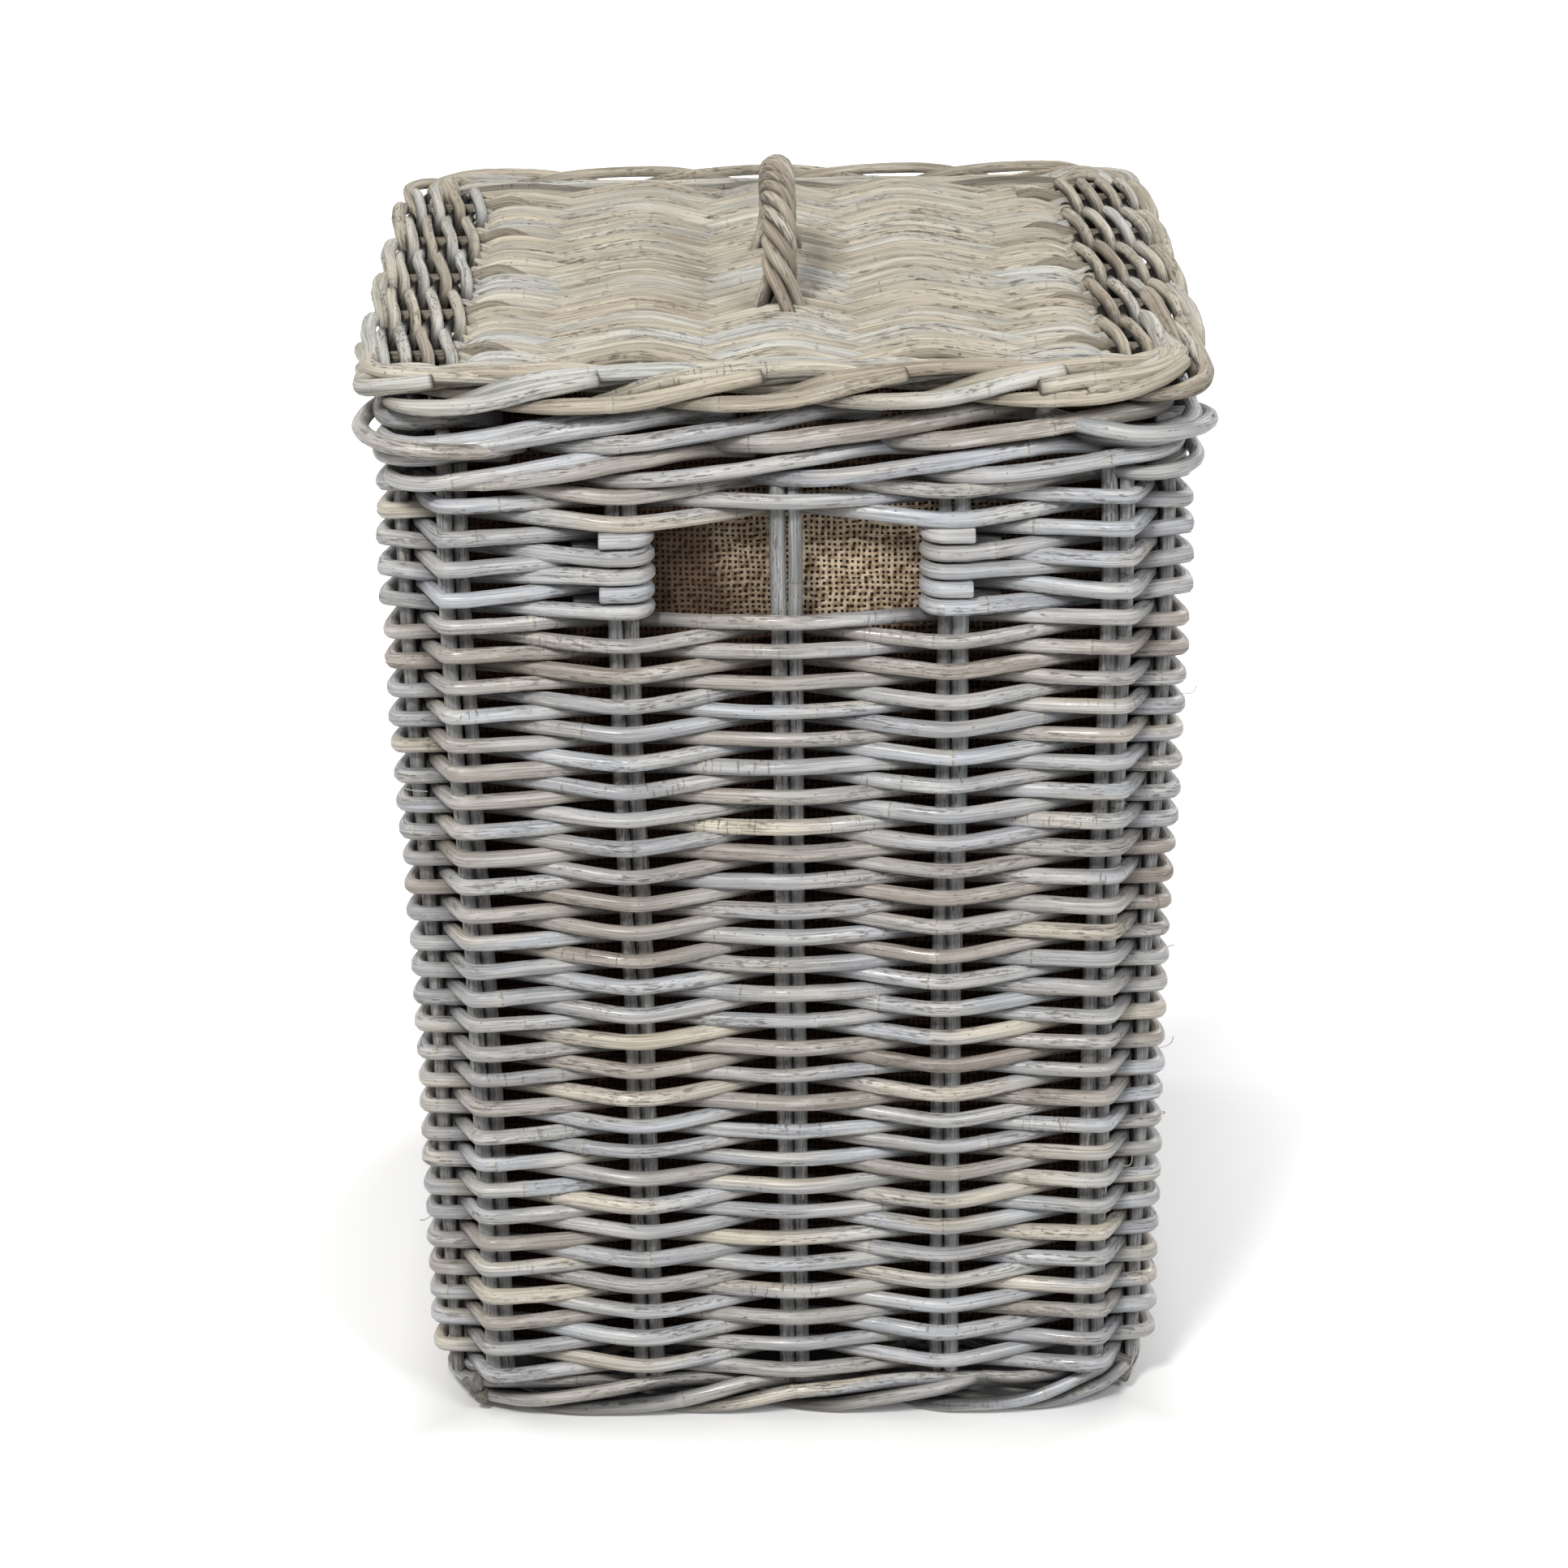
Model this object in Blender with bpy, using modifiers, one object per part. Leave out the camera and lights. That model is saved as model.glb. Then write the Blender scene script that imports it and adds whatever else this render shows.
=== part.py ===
"""Woven rattan laundry hamper with a hessian liner and a lift-off lid.

Metres, +Z up. The origin is the middle of the underside, -Y is the front and +X is the right.
The wall is drawn upright at its size at the rim, and lean() then narrows it towards the foot,
so every piece of the wall leans with its neighbours and keeps its clearance to them.
"""

import math

import bmesh
import bpy
from mathutils import Vector

# Overall sizes
BODY_WIDTH = 0.410  # outside of the weave at the rim
BODY_DEPTH = 0.455
BODY_HEIGHT = 0.5735  # floor to the top of the border
FOOT_SHARE = 0.965  # size at the floor as a share of the size at the rim
BODY_CORNER = 0.034  # outside corner radius
SMALLEST_CORNER = 0.004  # of any opening inside the wall
CLEARANCE = 0.0003  # between pieces that touch
WEAVE_CLEARANCE = 0.0005  # between a stake pair and what is woven round it

# Stakes: pairs of rods that stand side by side
STAKE_ROD = 0.008
FRONT_STAKES = 5
SIDE_STAKES = 6
CORNER_STAKE = 0.0265  # from the middle of a wall's last pair to the stake line of the next wall

# Weaving
WEAVER = 0.009  # thickness of a row, across the wall
FOOT_HEIGHT = 0.024
ROW_BANDS = 10  # groups of rows between the foot and the hand holes
BORDER_HEIGHT = 0.0415
ROWS_OVER_HAND_HOLES = 0.023
HAND_HOLE_HEIGHT = 0.048
BORDER_OVERHANG = 0.0035  # how far the border stands out from the weave
FOOT_OVERHANG = 0.001
BORDER_ROUNDING = 0.006
BASE_THICKNESS = 0.010
BASE_LEDGE = 0.012  # how far the foot border reaches in under the base

# Liner
LINER_THICKNESS = 0.0015
LINER_BELOW_RIM = 0.003

# Lid
LID_OVERHANG = 0.0125  # how far the lid stands out from the weave
LID_CORNER = 0.050
RIM_WIDTH = 0.014
RIM_HEIGHT = 0.0205
PLAIT_BEYOND_CORNER = 0.0015  # how far a plait reaches in past the rim's rounded corners
SIDE_BAND = 0.0452  # width of the woven band between the rim and the field
SIDE_STRIPS = 4
SIDE_STRIP_THICKNESS = 0.005
STRIP_END = 0.008  # level stretch at each end of a side strip
CROSS_STICKS = 5
CROSS_STICK = 0.006
CROSS_STICK_END = 0.0279  # from the last cross stick to the plait
LID_BARS = 5
LID_BAR_RADIUS = 0.005
LID_BAR_LIFT = 0.0012  # under a bar, up from the lid's underside
FIELD_END = 0.012  # from the last bar to the field's edge
FIELD_THICKNESS = 0.008
FIELD_WAVE = 0.010  # height from trough to crest
FIELD_CREST = 0.010  # width of the flat at a crest or trough

# Handle
HANDLE_RADIUS = 0.0105
HANDLE_HALF_SPAN = 0.0635
HANDLE_FOOT = 0.004  # upright stretch at each end
HANDLE_RISE = 0.0454
HANDLE_CENTRE_Y = -0.030

# Worked out from the sizes above
STAKE_INSET = WEAVER + STAKE_ROD / 2 + WEAVE_CLEARANCE
STAKE_HALF_WIDTH = BODY_WIDTH / 2 - STAKE_INSET
STAKE_HALF_DEPTH = BODY_DEPTH / 2 - STAKE_INSET
STAKE_CORNER = BODY_CORNER - STAKE_INSET
FRONT_STAKE_STEP = 2 * (STAKE_HALF_WIDTH - CORNER_STAKE) / (FRONT_STAKES - 1)
SIDE_STAKE_STEP = 2 * (STAKE_HALF_DEPTH - CORNER_STAKE) / (SIDE_STAKES - 1)
WEAVE_SWING = STAKE_ROD / 2 + WEAVER / 2 + WEAVE_CLEARANCE
WALL_HALF = WEAVE_SWING + WEAVER / 2
STAKE_FLAT = STAKE_ROD + 0.001  # half the straight run of a row over a pair
BORDER_BOTTOM = BODY_HEIGHT - BORDER_HEIGHT
HAND_HOLE_TOP = BORDER_BOTTOM - ROWS_OVER_HAND_HOLES
HAND_HOLE_BOTTOM = HAND_HOLE_TOP - HAND_HOLE_HEIGHT
LID_HALF_WIDTH = BODY_WIDTH / 2 + LID_OVERHANG
LID_HALF_DEPTH = BODY_DEPTH / 2 + LID_OVERHANG
LID_BOTTOM = BODY_HEIGHT + CLEARANCE
LID_INNER_X = LID_HALF_WIDTH - RIM_WIDTH - CLEARANCE
LID_INNER_Y = LID_HALF_DEPTH - RIM_WIDTH - CLEARANCE
PLAIT_WIDTH = LID_CORNER - RIM_WIDTH + PLAIT_BEYOND_CORNER
FIELD_HALF_WIDTH = LID_INNER_X - SIDE_BAND
FIELD_HALF_DEPTH = LID_INNER_Y - PLAIT_WIDTH - CLEARANCE
LID_BAR_STEP = 2 * (FIELD_HALF_WIDTH - FIELD_END) / (LID_BARS - 1)
CROSS_STICK_STEP = 2 * (FIELD_HALF_DEPTH - CROSS_STICK_END) / (CROSS_STICKS - 1)
BAR_TOP = LID_BOTTOM + LID_BAR_LIFT + 2 * LID_BAR_RADIUS
FIELD_TOP = BAR_TOP + CLEARANCE + FIELD_THICKNESS
FIELD_MIDDLE = FIELD_TOP - FIELD_THICKNESS / 2 - FIELD_WAVE / 2

ARC_STEPS = 6


def clear_scene():
    for item in list(bpy.data.objects):
        bpy.data.objects.remove(item)


def new_collection(name):
    found = bpy.data.collections.new(name)
    bpy.context.scene.collection.children.link(found)
    return found


def new_material(name, colour, roughness):
    material = bpy.data.materials.new(name)
    material.use_nodes = True
    shader = material.node_tree.nodes["Principled BSDF"]
    shader.inputs["Base Color"].default_value = (*colour, 1.0)
    shader.inputs["Roughness"].default_value = roughness
    shader.inputs["Metallic"].default_value = 0.0
    return material


def wall_scale(height):
    """The wall's size at a height, as a share of its size at the rim."""
    return FOOT_SHARE + (1.0 - FOOT_SHARE) * height / BODY_HEIGHT


def lean(item):
    """Narrows an upright piece of the wall towards the floor."""
    for vertex in item.data.vertices:
        share = wall_scale(item.location.z + vertex.co.z)
        vertex.co.x *= share
        vertex.co.y *= share


def rounded_outline(half_width, half_depth, radius):
    """The corner points of a rounded rectangle, anticlockwise from the right-hand side."""
    points = []
    for quarter in range(4):
        side_x = half_width - radius
        side_y = half_depth - radius
        centre = Vector((side_x if quarter in (0, 3) else -side_x, side_y if quarter < 2 else -side_y))
        for step in range(ARC_STEPS + 1):
            angle = math.radians(90.0 * (quarter + step / ARC_STEPS))
            points.append(centre + radius * Vector((math.cos(angle), math.sin(angle))))
    return points


def wall_outline(outward):
    """The wall's stake line, moved outward (or inward, if negative) by a distance."""
    return rounded_outline(
        STAKE_HALF_WIDTH + outward, STAKE_HALF_DEPTH + outward, max(STAKE_CORNER + outward, SMALLEST_CORNER)
    )


def line_offset(points, distance, closed):
    """A polyline moved to its left by a distance, with mitred corners."""
    moved = []
    count = len(points)
    for index, point in enumerate(points):
        before = points[index - 1] if closed or index else None
        after = points[(index + 1) % count] if closed or index + 1 < count else None
        sides = []
        if before is not None:
            run = (point - before).normalized()
            sides.append(Vector((-run.y, run.x)))
        if after is not None:
            run = (after - point).normalized()
            sides.append(Vector((-run.y, run.x)))
        normal = sum(sides, Vector((0.0, 0.0))).normalized()
        moved.append(point + normal * distance / max(normal.dot(sides[0]), 0.5))
    return moved


def ribbon_outlines(points, thickness, closed):
    """The edge or edges of a strip of even thickness along a polyline."""
    left = line_offset(points, thickness / 2, closed)
    right = line_offset(points, -thickness / 2, closed)
    return [left, right] if closed else [left + right[::-1]]


def extruded(name, outlines, height, material, collection):
    """A flat shape with its outlines' holes, as a mesh object that stands on its own z = 0."""
    curve = bpy.data.curves.new(name, "CURVE")
    curve.dimensions = "2D"
    curve.fill_mode = "BOTH"
    curve.extrude = height / 2
    for outline in outlines:
        spline = curve.splines.new("POLY")
        spline.points.add(len(outline) - 1)
        for place, point in zip(spline.points, outline):
            place.co = (point.x, point.y, 0.0, 1.0)
        spline.use_cyclic_u = True
    return mesh_from_curve(name, curve, height / 2, material, collection)


def mesh_from_curve(name, curve, raise_by, material, collection):
    """The curve's surface as a welded mesh object."""
    guide = bpy.data.objects.new(name + "_curve", curve)
    collection.objects.link(guide)
    graph = bpy.context.evaluated_depsgraph_get()
    mesh = bpy.data.meshes.new_from_object(guide.evaluated_get(graph))
    bpy.data.objects.remove(guide)
    bpy.data.curves.remove(curve)
    shape = bmesh.new()
    shape.from_mesh(mesh)
    bmesh.ops.remove_doubles(shape, verts=shape.verts, dist=0.00001)
    bmesh.ops.translate(shape, verts=shape.verts, vec=(0.0, 0.0, raise_by))
    bmesh.ops.recalc_face_normals(shape, faces=shape.faces)
    shape.to_mesh(mesh)
    shape.free()
    mesh.materials.clear()
    mesh.materials.append(material)
    mesh.name = name
    item = bpy.data.objects.new(name, mesh)
    collection.objects.link(item)
    return item


def round_edges(item, radius):
    """Rounds the long edges of an extruded ring or bar."""
    bevel = item.modifiers.new("Rounded edges", "BEVEL")
    bevel.width = radius
    bevel.segments = 2
    bevel.limit_method = "ANGLE"
    bevel.angle_limit = math.radians(50.0)
    item.data.shade_smooth()
    item.data.set_sharp_from_angle(angle=math.radians(50.0))


def stake_places():
    """Each stake pair's name, its middle on the stake line, and the direction out of the wall."""
    places = []
    for side, normal in (("front", Vector((0, -1))), ("right", Vector((1, 0))),
                         ("back", Vector((0, 1))), ("left", Vector((-1, 0)))):
        along = Vector((-normal.y, normal.x))
        across = side in ("front", "back")
        count = FRONT_STAKES if across else SIDE_STAKES
        step = FRONT_STAKE_STEP if across else SIDE_STAKE_STEP
        reach = STAKE_HALF_DEPTH if across else STAKE_HALF_WIDTH
        for index in range(count):
            shift = (index - (count - 1) / 2) * step
            places.append((f"stake_pair_{side}_{index + 1}", normal * reach + along * shift, normal))
    return places


def corner_between(place, following):
    """The middle of the rounded corner between two stake pairs, or nothing on a straight wall."""
    if place[2] == following[2]:
        return []
    diagonal = place[2] + following[2]
    centre = Vector((
        diagonal.x * (STAKE_HALF_WIDTH - STAKE_CORNER), diagonal.y * (STAKE_HALF_DEPTH - STAKE_CORNER)
    ))
    return [centre + diagonal.normalized() * STAKE_CORNER]


def woven_line(places, phase):
    """A row's middle line: outside one pair, inside the next, crossing the stake line between."""
    points = []
    for index, place in enumerate(places):
        side = 1 if (index + phase) % 2 == 0 else -1
        along = Vector((-place[2].y, place[2].x))
        middle = place[1] + place[2] * side * WEAVE_SWING
        points += [middle - along * STAKE_FLAT, middle + along * STAKE_FLAT]
        points += corner_between(place, places[(index + 1) % len(places)])
    return points


def make_stakes(places, material, collection):
    bottom = FOOT_HEIGHT + CLEARANCE
    for name, middle, normal in places:
        along = Vector((-normal.y, normal.x))
        outline = []
        for end in (1, -1):
            for step in range(5):
                angle = math.radians(-90.0 + 45.0 * step)
                reach = STAKE_ROD / 2 * (1.0 + math.cos(angle))
                outline.append(middle + end * (along * reach + normal * STAKE_ROD / 2 * math.sin(angle)))
        height = BORDER_BOTTOM - CLEARANCE - bottom
        stake = extruded(name, [outline], height, material, collection)
        stake.location.z = bottom
        lean(stake)


def make_band(name, line, closed, bottom, top, material, collection):
    band = extruded(name, ribbon_outlines(line, WEAVER, closed), top - bottom, material, collection)
    band.location.z = bottom
    lean(band)


def make_rows(places, material, collection):
    """The rows below the hand holes and the rows above them, each band a closed woven ring."""
    start = FOOT_HEIGHT + CLEARANCE
    step = (HAND_HOLE_BOTTOM - start) / ROW_BANDS
    for index in range(ROW_BANDS):
        bottom = start + index * step
        line = woven_line(places, index)
        make_band(f"weave_rows_{index + 1:02d}", line, True, bottom, bottom + step - CLEARANCE,
                  material, collection)
    make_band("weave_rows_top", woven_line(places, ROW_BANDS + 1), True, HAND_HOLE_TOP,
              BORDER_BOTTOM - CLEARANCE, material, collection)


def wrapped_end(place, direction, side):
    """The turn of a row round a stake pair: past its edge and back along the pair's other face."""
    along = Vector((-place[2].y, place[2].x)) * direction
    rod = place[1] + along * STAKE_ROD / 2
    reach = WEAVE_SWING / math.cos(math.radians(22.5))
    turn = []
    for step in range(4):
        angle = math.radians(67.5 - 45.0 * step)
        turn.append(rod + reach * (along * math.cos(angle) + place[2] * side * math.sin(angle)))
    return turn + [place[1] - along * STAKE_ROD / 2 - place[2] * side * WEAVE_SWING]


def hand_hole_runs(places):
    """The stake pairs on the right and on the left of the hand holes, in order round the wall."""
    names = [place[0] for place in places]
    middle = (FRONT_STAKES + 1) // 2
    right_start = names.index(f"stake_pair_front_{middle + 1}")
    right_end = names.index(f"stake_pair_back_{middle - 1}")
    left_start = names.index(f"stake_pair_back_{middle + 1}")
    left_end = names.index(f"stake_pair_front_{middle - 1}")
    return {
        "hand_hole_rows_right": places[right_start : right_end + 1],
        "hand_hole_rows_left": places[left_start:] + places[: left_end + 1],
    }


def make_hand_hole_rows(places, material, collection):
    """Rows beside the hand holes: they turn back round the pairs on each side of the holes."""
    for name, run in hand_hole_runs(places).items():
        last = len(run) - 1
        line = wrapped_end(run[0], -1, 1)[::-1]
        for index, place in enumerate(run):
            side = 1 if index % 2 == 0 else -1
            along = Vector((-place[2].y, place[2].x))
            face = place[1] + place[2] * side * WEAVE_SWING
            line += [face - along * STAKE_FLAT] if index else []
            line += [face + along * STAKE_FLAT] if index < last else []
            line += corner_between(place, run[index + 1]) if index < last else []
        line += wrapped_end(run[last], 1, 1 if last % 2 == 0 else -1)
        make_band(name, line, False, HAND_HOLE_BOTTOM, HAND_HOLE_TOP - CLEARANCE, material, collection)


def make_ring(name, outward, inward, bottom, top, material, collection):
    """A border or foot that follows the wall, with rounded edges."""
    outlines = [wall_outline(outward), wall_outline(-inward)]
    ring = extruded(name, outlines, top - bottom, material, collection)
    ring.location.z = bottom
    lean(ring)
    round_edges(ring, BORDER_ROUNDING)


def make_borders(material, collection):
    middle = (BORDER_BOTTOM + BODY_HEIGHT) / 2
    reach = WALL_HALF + BORDER_OVERHANG
    make_ring("border_lower_wale", reach, WALL_HALF, BORDER_BOTTOM, middle - CLEARANCE,
              material, collection)
    make_ring("border_upper_wale", reach, WALL_HALF, middle, BODY_HEIGHT, material, collection)
    make_ring("foot_border", WALL_HALF + FOOT_OVERHANG, WALL_HALF + BASE_LEDGE, 0.0, FOOT_HEIGHT,
              material, collection)


def make_base(material, collection):
    """The woven base, resting on the foot border inside the lowest rows."""
    outward = -WALL_HALF - WEAVE_CLEARANCE
    base = extruded("base_panel", [wall_outline(outward)], BASE_THICKNESS, material, collection)
    base.location.z = FOOT_HEIGHT + CLEARANCE
    lean(base)


def make_liner(material, collection):
    """The hessian liner: an open bag that stands on the base and reaches just below the rim."""
    bottom = FOOT_HEIGHT + BASE_THICKNESS + 2 * CLEARANCE
    top = BODY_HEIGHT - LINER_BELOW_RIM
    outward = -WALL_HALF - WEAVE_CLEARANCE
    liner = extruded("hessian_liner", [wall_outline(outward)], top - bottom, material, collection)
    liner.location.z = bottom
    shape = bmesh.new()
    shape.from_mesh(liner.data)
    lids = [face for face in shape.faces if face.normal.z > 0.9]
    bmesh.ops.delete(shape, geom=lids, context="FACES")
    shape.to_mesh(liner.data)
    shape.free()
    lean(liner)
    cloth = liner.modifiers.new("Cloth thickness", "SOLIDIFY")
    cloth.thickness = LINER_THICKNESS
    cloth.offset = -1.0
    cloth.use_even_offset = True


def make_lid_rim(material, collection):
    outer = rounded_outline(LID_HALF_WIDTH, LID_HALF_DEPTH, LID_CORNER)
    inner = rounded_outline(LID_HALF_WIDTH - RIM_WIDTH, LID_HALF_DEPTH - RIM_WIDTH, LID_CORNER - RIM_WIDTH)
    rim = extruded("lid_rim", [outer, inner], RIM_HEIGHT, material, collection)
    rim.location.z = LID_BOTTOM
    round_edges(rim, RIM_WIDTH / 4)


def make_lid_plaits(material, collection):
    """The plaited bands along the front and back of the lid, rounded at the rim's corners."""
    corner = LID_CORNER - RIM_WIDTH - CLEARANCE
    inner_y = FIELD_HALF_DEPTH + CLEARANCE
    half = [Vector((LID_INNER_X, inner_y))]
    for step in range(ARC_STEPS + 1):
        angle = math.radians(90.0 * step / ARC_STEPS)
        turn = corner * Vector((math.cos(angle), math.sin(angle)))
        half.append(Vector((LID_INNER_X - corner, LID_INNER_Y - corner)) + turn)
    for name, side in (("lid_front_plait", -1), ("lid_back_plait", 1)):
        outline = [Vector((point.x, side * point.y)) for point in half]
        outline += [Vector((-point.x, side * point.y)) for point in half[::-1]]
        plait = extruded(name, [outline], RIM_HEIGHT, material, collection)
        plait.location.z = LID_BOTTOM


def make_lid_bars(material, collection):
    """Front-to-back bars that carry the lid's field."""
    for index in range(LID_BARS):
        shift = (index - (LID_BARS - 1) / 2) * LID_BAR_STEP
        name = f"lid_bar_{index + 1}"
        curve = bpy.data.curves.new(name, "CURVE")
        curve.dimensions = "3D"
        curve.bevel_depth = LID_BAR_RADIUS
        curve.bevel_resolution = 2
        curve.use_fill_caps = True
        spline = curve.splines.new("POLY")
        spline.points.add(1)
        spline.points[0].co = (0.0, -FIELD_HALF_DEPTH, 0.0, 1.0)
        spline.points[1].co = (0.0, FIELD_HALF_DEPTH, 0.0, 1.0)
        bar = mesh_from_curve(name, curve, 0.0, material, collection)
        bar.location = (shift, 0.0, BAR_TOP - LID_BAR_RADIUS)


def field_line():
    """The field's section from left to right: a crest over each bar, a trough between bars."""
    points = []
    half = (LID_BARS - 1) / 2
    for index in range(LID_BARS):
        crest = (index - half) * LID_BAR_STEP
        left = crest - FIELD_CREST / 2 if index else -FIELD_HALF_WIDTH
        right = crest + FIELD_CREST / 2 if index + 1 < LID_BARS else FIELD_HALF_WIDTH
        points += [Vector((left, FIELD_WAVE / 2)), Vector((right, FIELD_WAVE / 2))]
        if index + 1 < LID_BARS:
            trough = crest + LID_BAR_STEP / 2
            points += [Vector((trough - FIELD_CREST / 2, -FIELD_WAVE / 2)),
                       Vector((trough + FIELD_CREST / 2, -FIELD_WAVE / 2))]
    return points


def stick_places():
    return [(index - (CROSS_STICKS - 1) / 2) * CROSS_STICK_STEP for index in range(CROSS_STICKS)]


def add_cross_stick(side, place, cutters):
    """One cross stick, from the field's edge out to the rim, as a shape to join to the field."""
    start = (LID_BARS - 1) / 2 * LID_BAR_STEP + LID_BAR_RADIUS + CLEARANCE
    bpy.ops.mesh.primitive_cube_add(size=1.0)
    stick = bpy.context.active_object
    stick.name = "cross_stick_shape"
    for vertex in stick.data.vertices:
        vertex.co.x *= LID_INNER_X - start
        vertex.co.y *= CROSS_STICK
        vertex.co.z *= CROSS_STICK
    stick.location = (side * (start + LID_INNER_X) / 2, place, FIELD_MIDDLE)
    stick.hide_render = True
    stick.display_type = "WIRE"
    for owner in list(stick.users_collection):
        owner.objects.unlink(stick)
    cutters.objects.link(stick)
    return stick


def make_field(material, collection, cutters):
    """The woven top, with the cross sticks that run on from it into the side bands."""
    outlines = ribbon_outlines(field_line(), FIELD_THICKNESS, False)
    field = extruded("lid_field", outlines, 2 * FIELD_HALF_DEPTH, material, collection)
    field.rotation_euler = (math.radians(90.0), 0.0, 0.0)
    field.location = (0.0, FIELD_HALF_DEPTH, FIELD_MIDDLE)
    for side in (-1, 1):
        for place in stick_places():
            join = field.modifiers.new("Cross stick", "BOOLEAN")
            join.operation = "UNION"
            join.solver = "EXACT"
            join.object = add_cross_stick(side, place, cutters)


def strip_line(phase):
    """A side strip from front to back: over one cross stick, under the next."""
    swing = (CROSS_STICK + SIDE_STRIP_THICKNESS) / 2 + WEAVE_CLEARANCE
    flat = CROSS_STICK / 2 + 0.001
    level = FIELD_HALF_DEPTH - STRIP_END
    points = [Vector((-FIELD_HALF_DEPTH, 0.0)), Vector((-level, 0.0))]
    for index, place in enumerate(stick_places()):
        side = 1 if (index + phase) % 2 == 0 else -1
        points += [Vector((place - flat, side * swing)), Vector((place + flat, side * swing))]
    return points + [Vector((level, 0.0)), Vector((FIELD_HALF_DEPTH, 0.0))]


def make_side_strips(material, collection):
    start = FIELD_HALF_WIDTH + CLEARANCE
    pitch = (LID_INNER_X - start) / SIDE_STRIPS
    for side, word in ((-1, "left"), (1, "right")):
        for index in range(SIDE_STRIPS):
            outlines = ribbon_outlines(strip_line(index), SIDE_STRIP_THICKNESS, False)
            name = f"lid_side_strip_{word}_{index + 1}"
            strip = extruded(name, outlines, pitch - CLEARANCE, material, collection)
            inner_edge = start + index * pitch
            near = inner_edge if side > 0 else CLEARANCE - pitch - inner_edge
            strip.rotation_euler = (math.radians(90.0), 0.0, math.radians(90.0))
            strip.location = (near, 0.0, FIELD_MIDDLE)


def make_handle(material, collection):
    """The twisted handle's arch, from front to back over the lid, on a half ellipse."""
    curve = bpy.data.curves.new("lid_handle", "CURVE")
    curve.dimensions = "3D"
    curve.bevel_depth = HANDLE_RADIUS
    curve.bevel_resolution = 2
    curve.use_fill_caps = True
    steps = 16
    arch = [(-HANDLE_HALF_SPAN, 0.0)]
    for index in range(steps + 1):
        angle = math.pi * index / steps
        along = -HANDLE_HALF_SPAN * math.cos(angle)
        arch.append((along, HANDLE_FOOT + HANDLE_RISE * math.sin(angle)))
    arch.append((HANDLE_HALF_SPAN, 0.0))
    spline = curve.splines.new("POLY")
    spline.points.add(len(arch) - 1)
    for point, (along, up) in zip(spline.points, arch):
        point.co = (0.0, along, up, 1.0)
    handle = mesh_from_curve("lid_handle", curve, 0.0, material, collection)
    handle.location = (0.0, HANDLE_CENTRE_Y, FIELD_TOP + CLEARANCE)
    handle.data.shade_smooth()
    handle.data.set_sharp_from_angle(angle=math.radians(50.0))


def main():
    clear_scene()
    hamper = new_collection("Laundry hamper")
    cutters = new_collection("Cutters")
    row_rattan = new_material("Grey rattan rows", (0.42, 0.40, 0.37), 0.55)
    stake_rattan = new_material("Pale rattan stakes", (0.50, 0.51, 0.50), 0.55)
    border_rattan = new_material("Grey rattan borders", (0.45, 0.43, 0.40), 0.55)
    lid_rattan = new_material("Beige rattan lid", (0.52, 0.46, 0.37), 0.65)
    handle_rattan = new_material("Twisted rattan handle", (0.45, 0.39, 0.31), 0.65)
    base_rattan = new_material("Rattan base", (0.40, 0.36, 0.31), 0.65)
    hessian = new_material("Hessian", (0.42, 0.30, 0.18), 0.95)
    places = stake_places()
    make_stakes(places, stake_rattan, hamper)
    make_rows(places, row_rattan, hamper)
    make_hand_hole_rows(places, row_rattan, hamper)
    make_borders(border_rattan, hamper)
    make_base(base_rattan, hamper)
    make_liner(hessian, hamper)
    make_lid_rim(lid_rattan, hamper)
    make_lid_plaits(lid_rattan, hamper)
    make_lid_bars(lid_rattan, hamper)
    make_field(lid_rattan, hamper, cutters)
    make_side_strips(lid_rattan, hamper)
    make_handle(handle_rattan, hamper)


main()
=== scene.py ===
"""A grey-washed rattan laundry hamper with a lift-off lid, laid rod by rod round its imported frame."""

import math

import bpy
import numpy as np
from mathutils import Matrix, Vector


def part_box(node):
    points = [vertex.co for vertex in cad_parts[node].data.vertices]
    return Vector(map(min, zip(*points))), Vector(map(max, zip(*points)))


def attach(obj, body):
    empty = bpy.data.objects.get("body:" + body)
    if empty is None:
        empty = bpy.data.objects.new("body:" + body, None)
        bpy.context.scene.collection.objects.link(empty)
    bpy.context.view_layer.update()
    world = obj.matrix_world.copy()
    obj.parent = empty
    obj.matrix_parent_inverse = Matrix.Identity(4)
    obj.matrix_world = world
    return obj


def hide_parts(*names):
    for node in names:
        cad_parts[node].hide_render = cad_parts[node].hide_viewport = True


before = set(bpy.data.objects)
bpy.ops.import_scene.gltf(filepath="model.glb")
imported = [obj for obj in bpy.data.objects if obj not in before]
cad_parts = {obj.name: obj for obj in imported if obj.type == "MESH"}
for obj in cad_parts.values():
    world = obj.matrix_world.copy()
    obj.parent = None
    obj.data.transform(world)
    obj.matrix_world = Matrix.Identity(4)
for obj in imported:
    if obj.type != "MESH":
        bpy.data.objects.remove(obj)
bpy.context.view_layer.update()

MM = 0.001


def span(node):
    """Lowest and highest corner of one of the frame's nodes."""
    low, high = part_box(node)
    return np.array(low), np.array(high)


# ---------------------------------------------------------------- camera, light and floor

CAMERA_PLACE = (-0.035, -2.346, 1.187)
CAMERA_PITCH = math.radians(21.0)
CAMERA_YAW = math.radians(0.866)
CAMERA_ROLL = math.radians(-0.66)
LENS_MM = 101.74
FLOOR_RADIUS = 9.0
FLOOR_POINTS = 96
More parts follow.
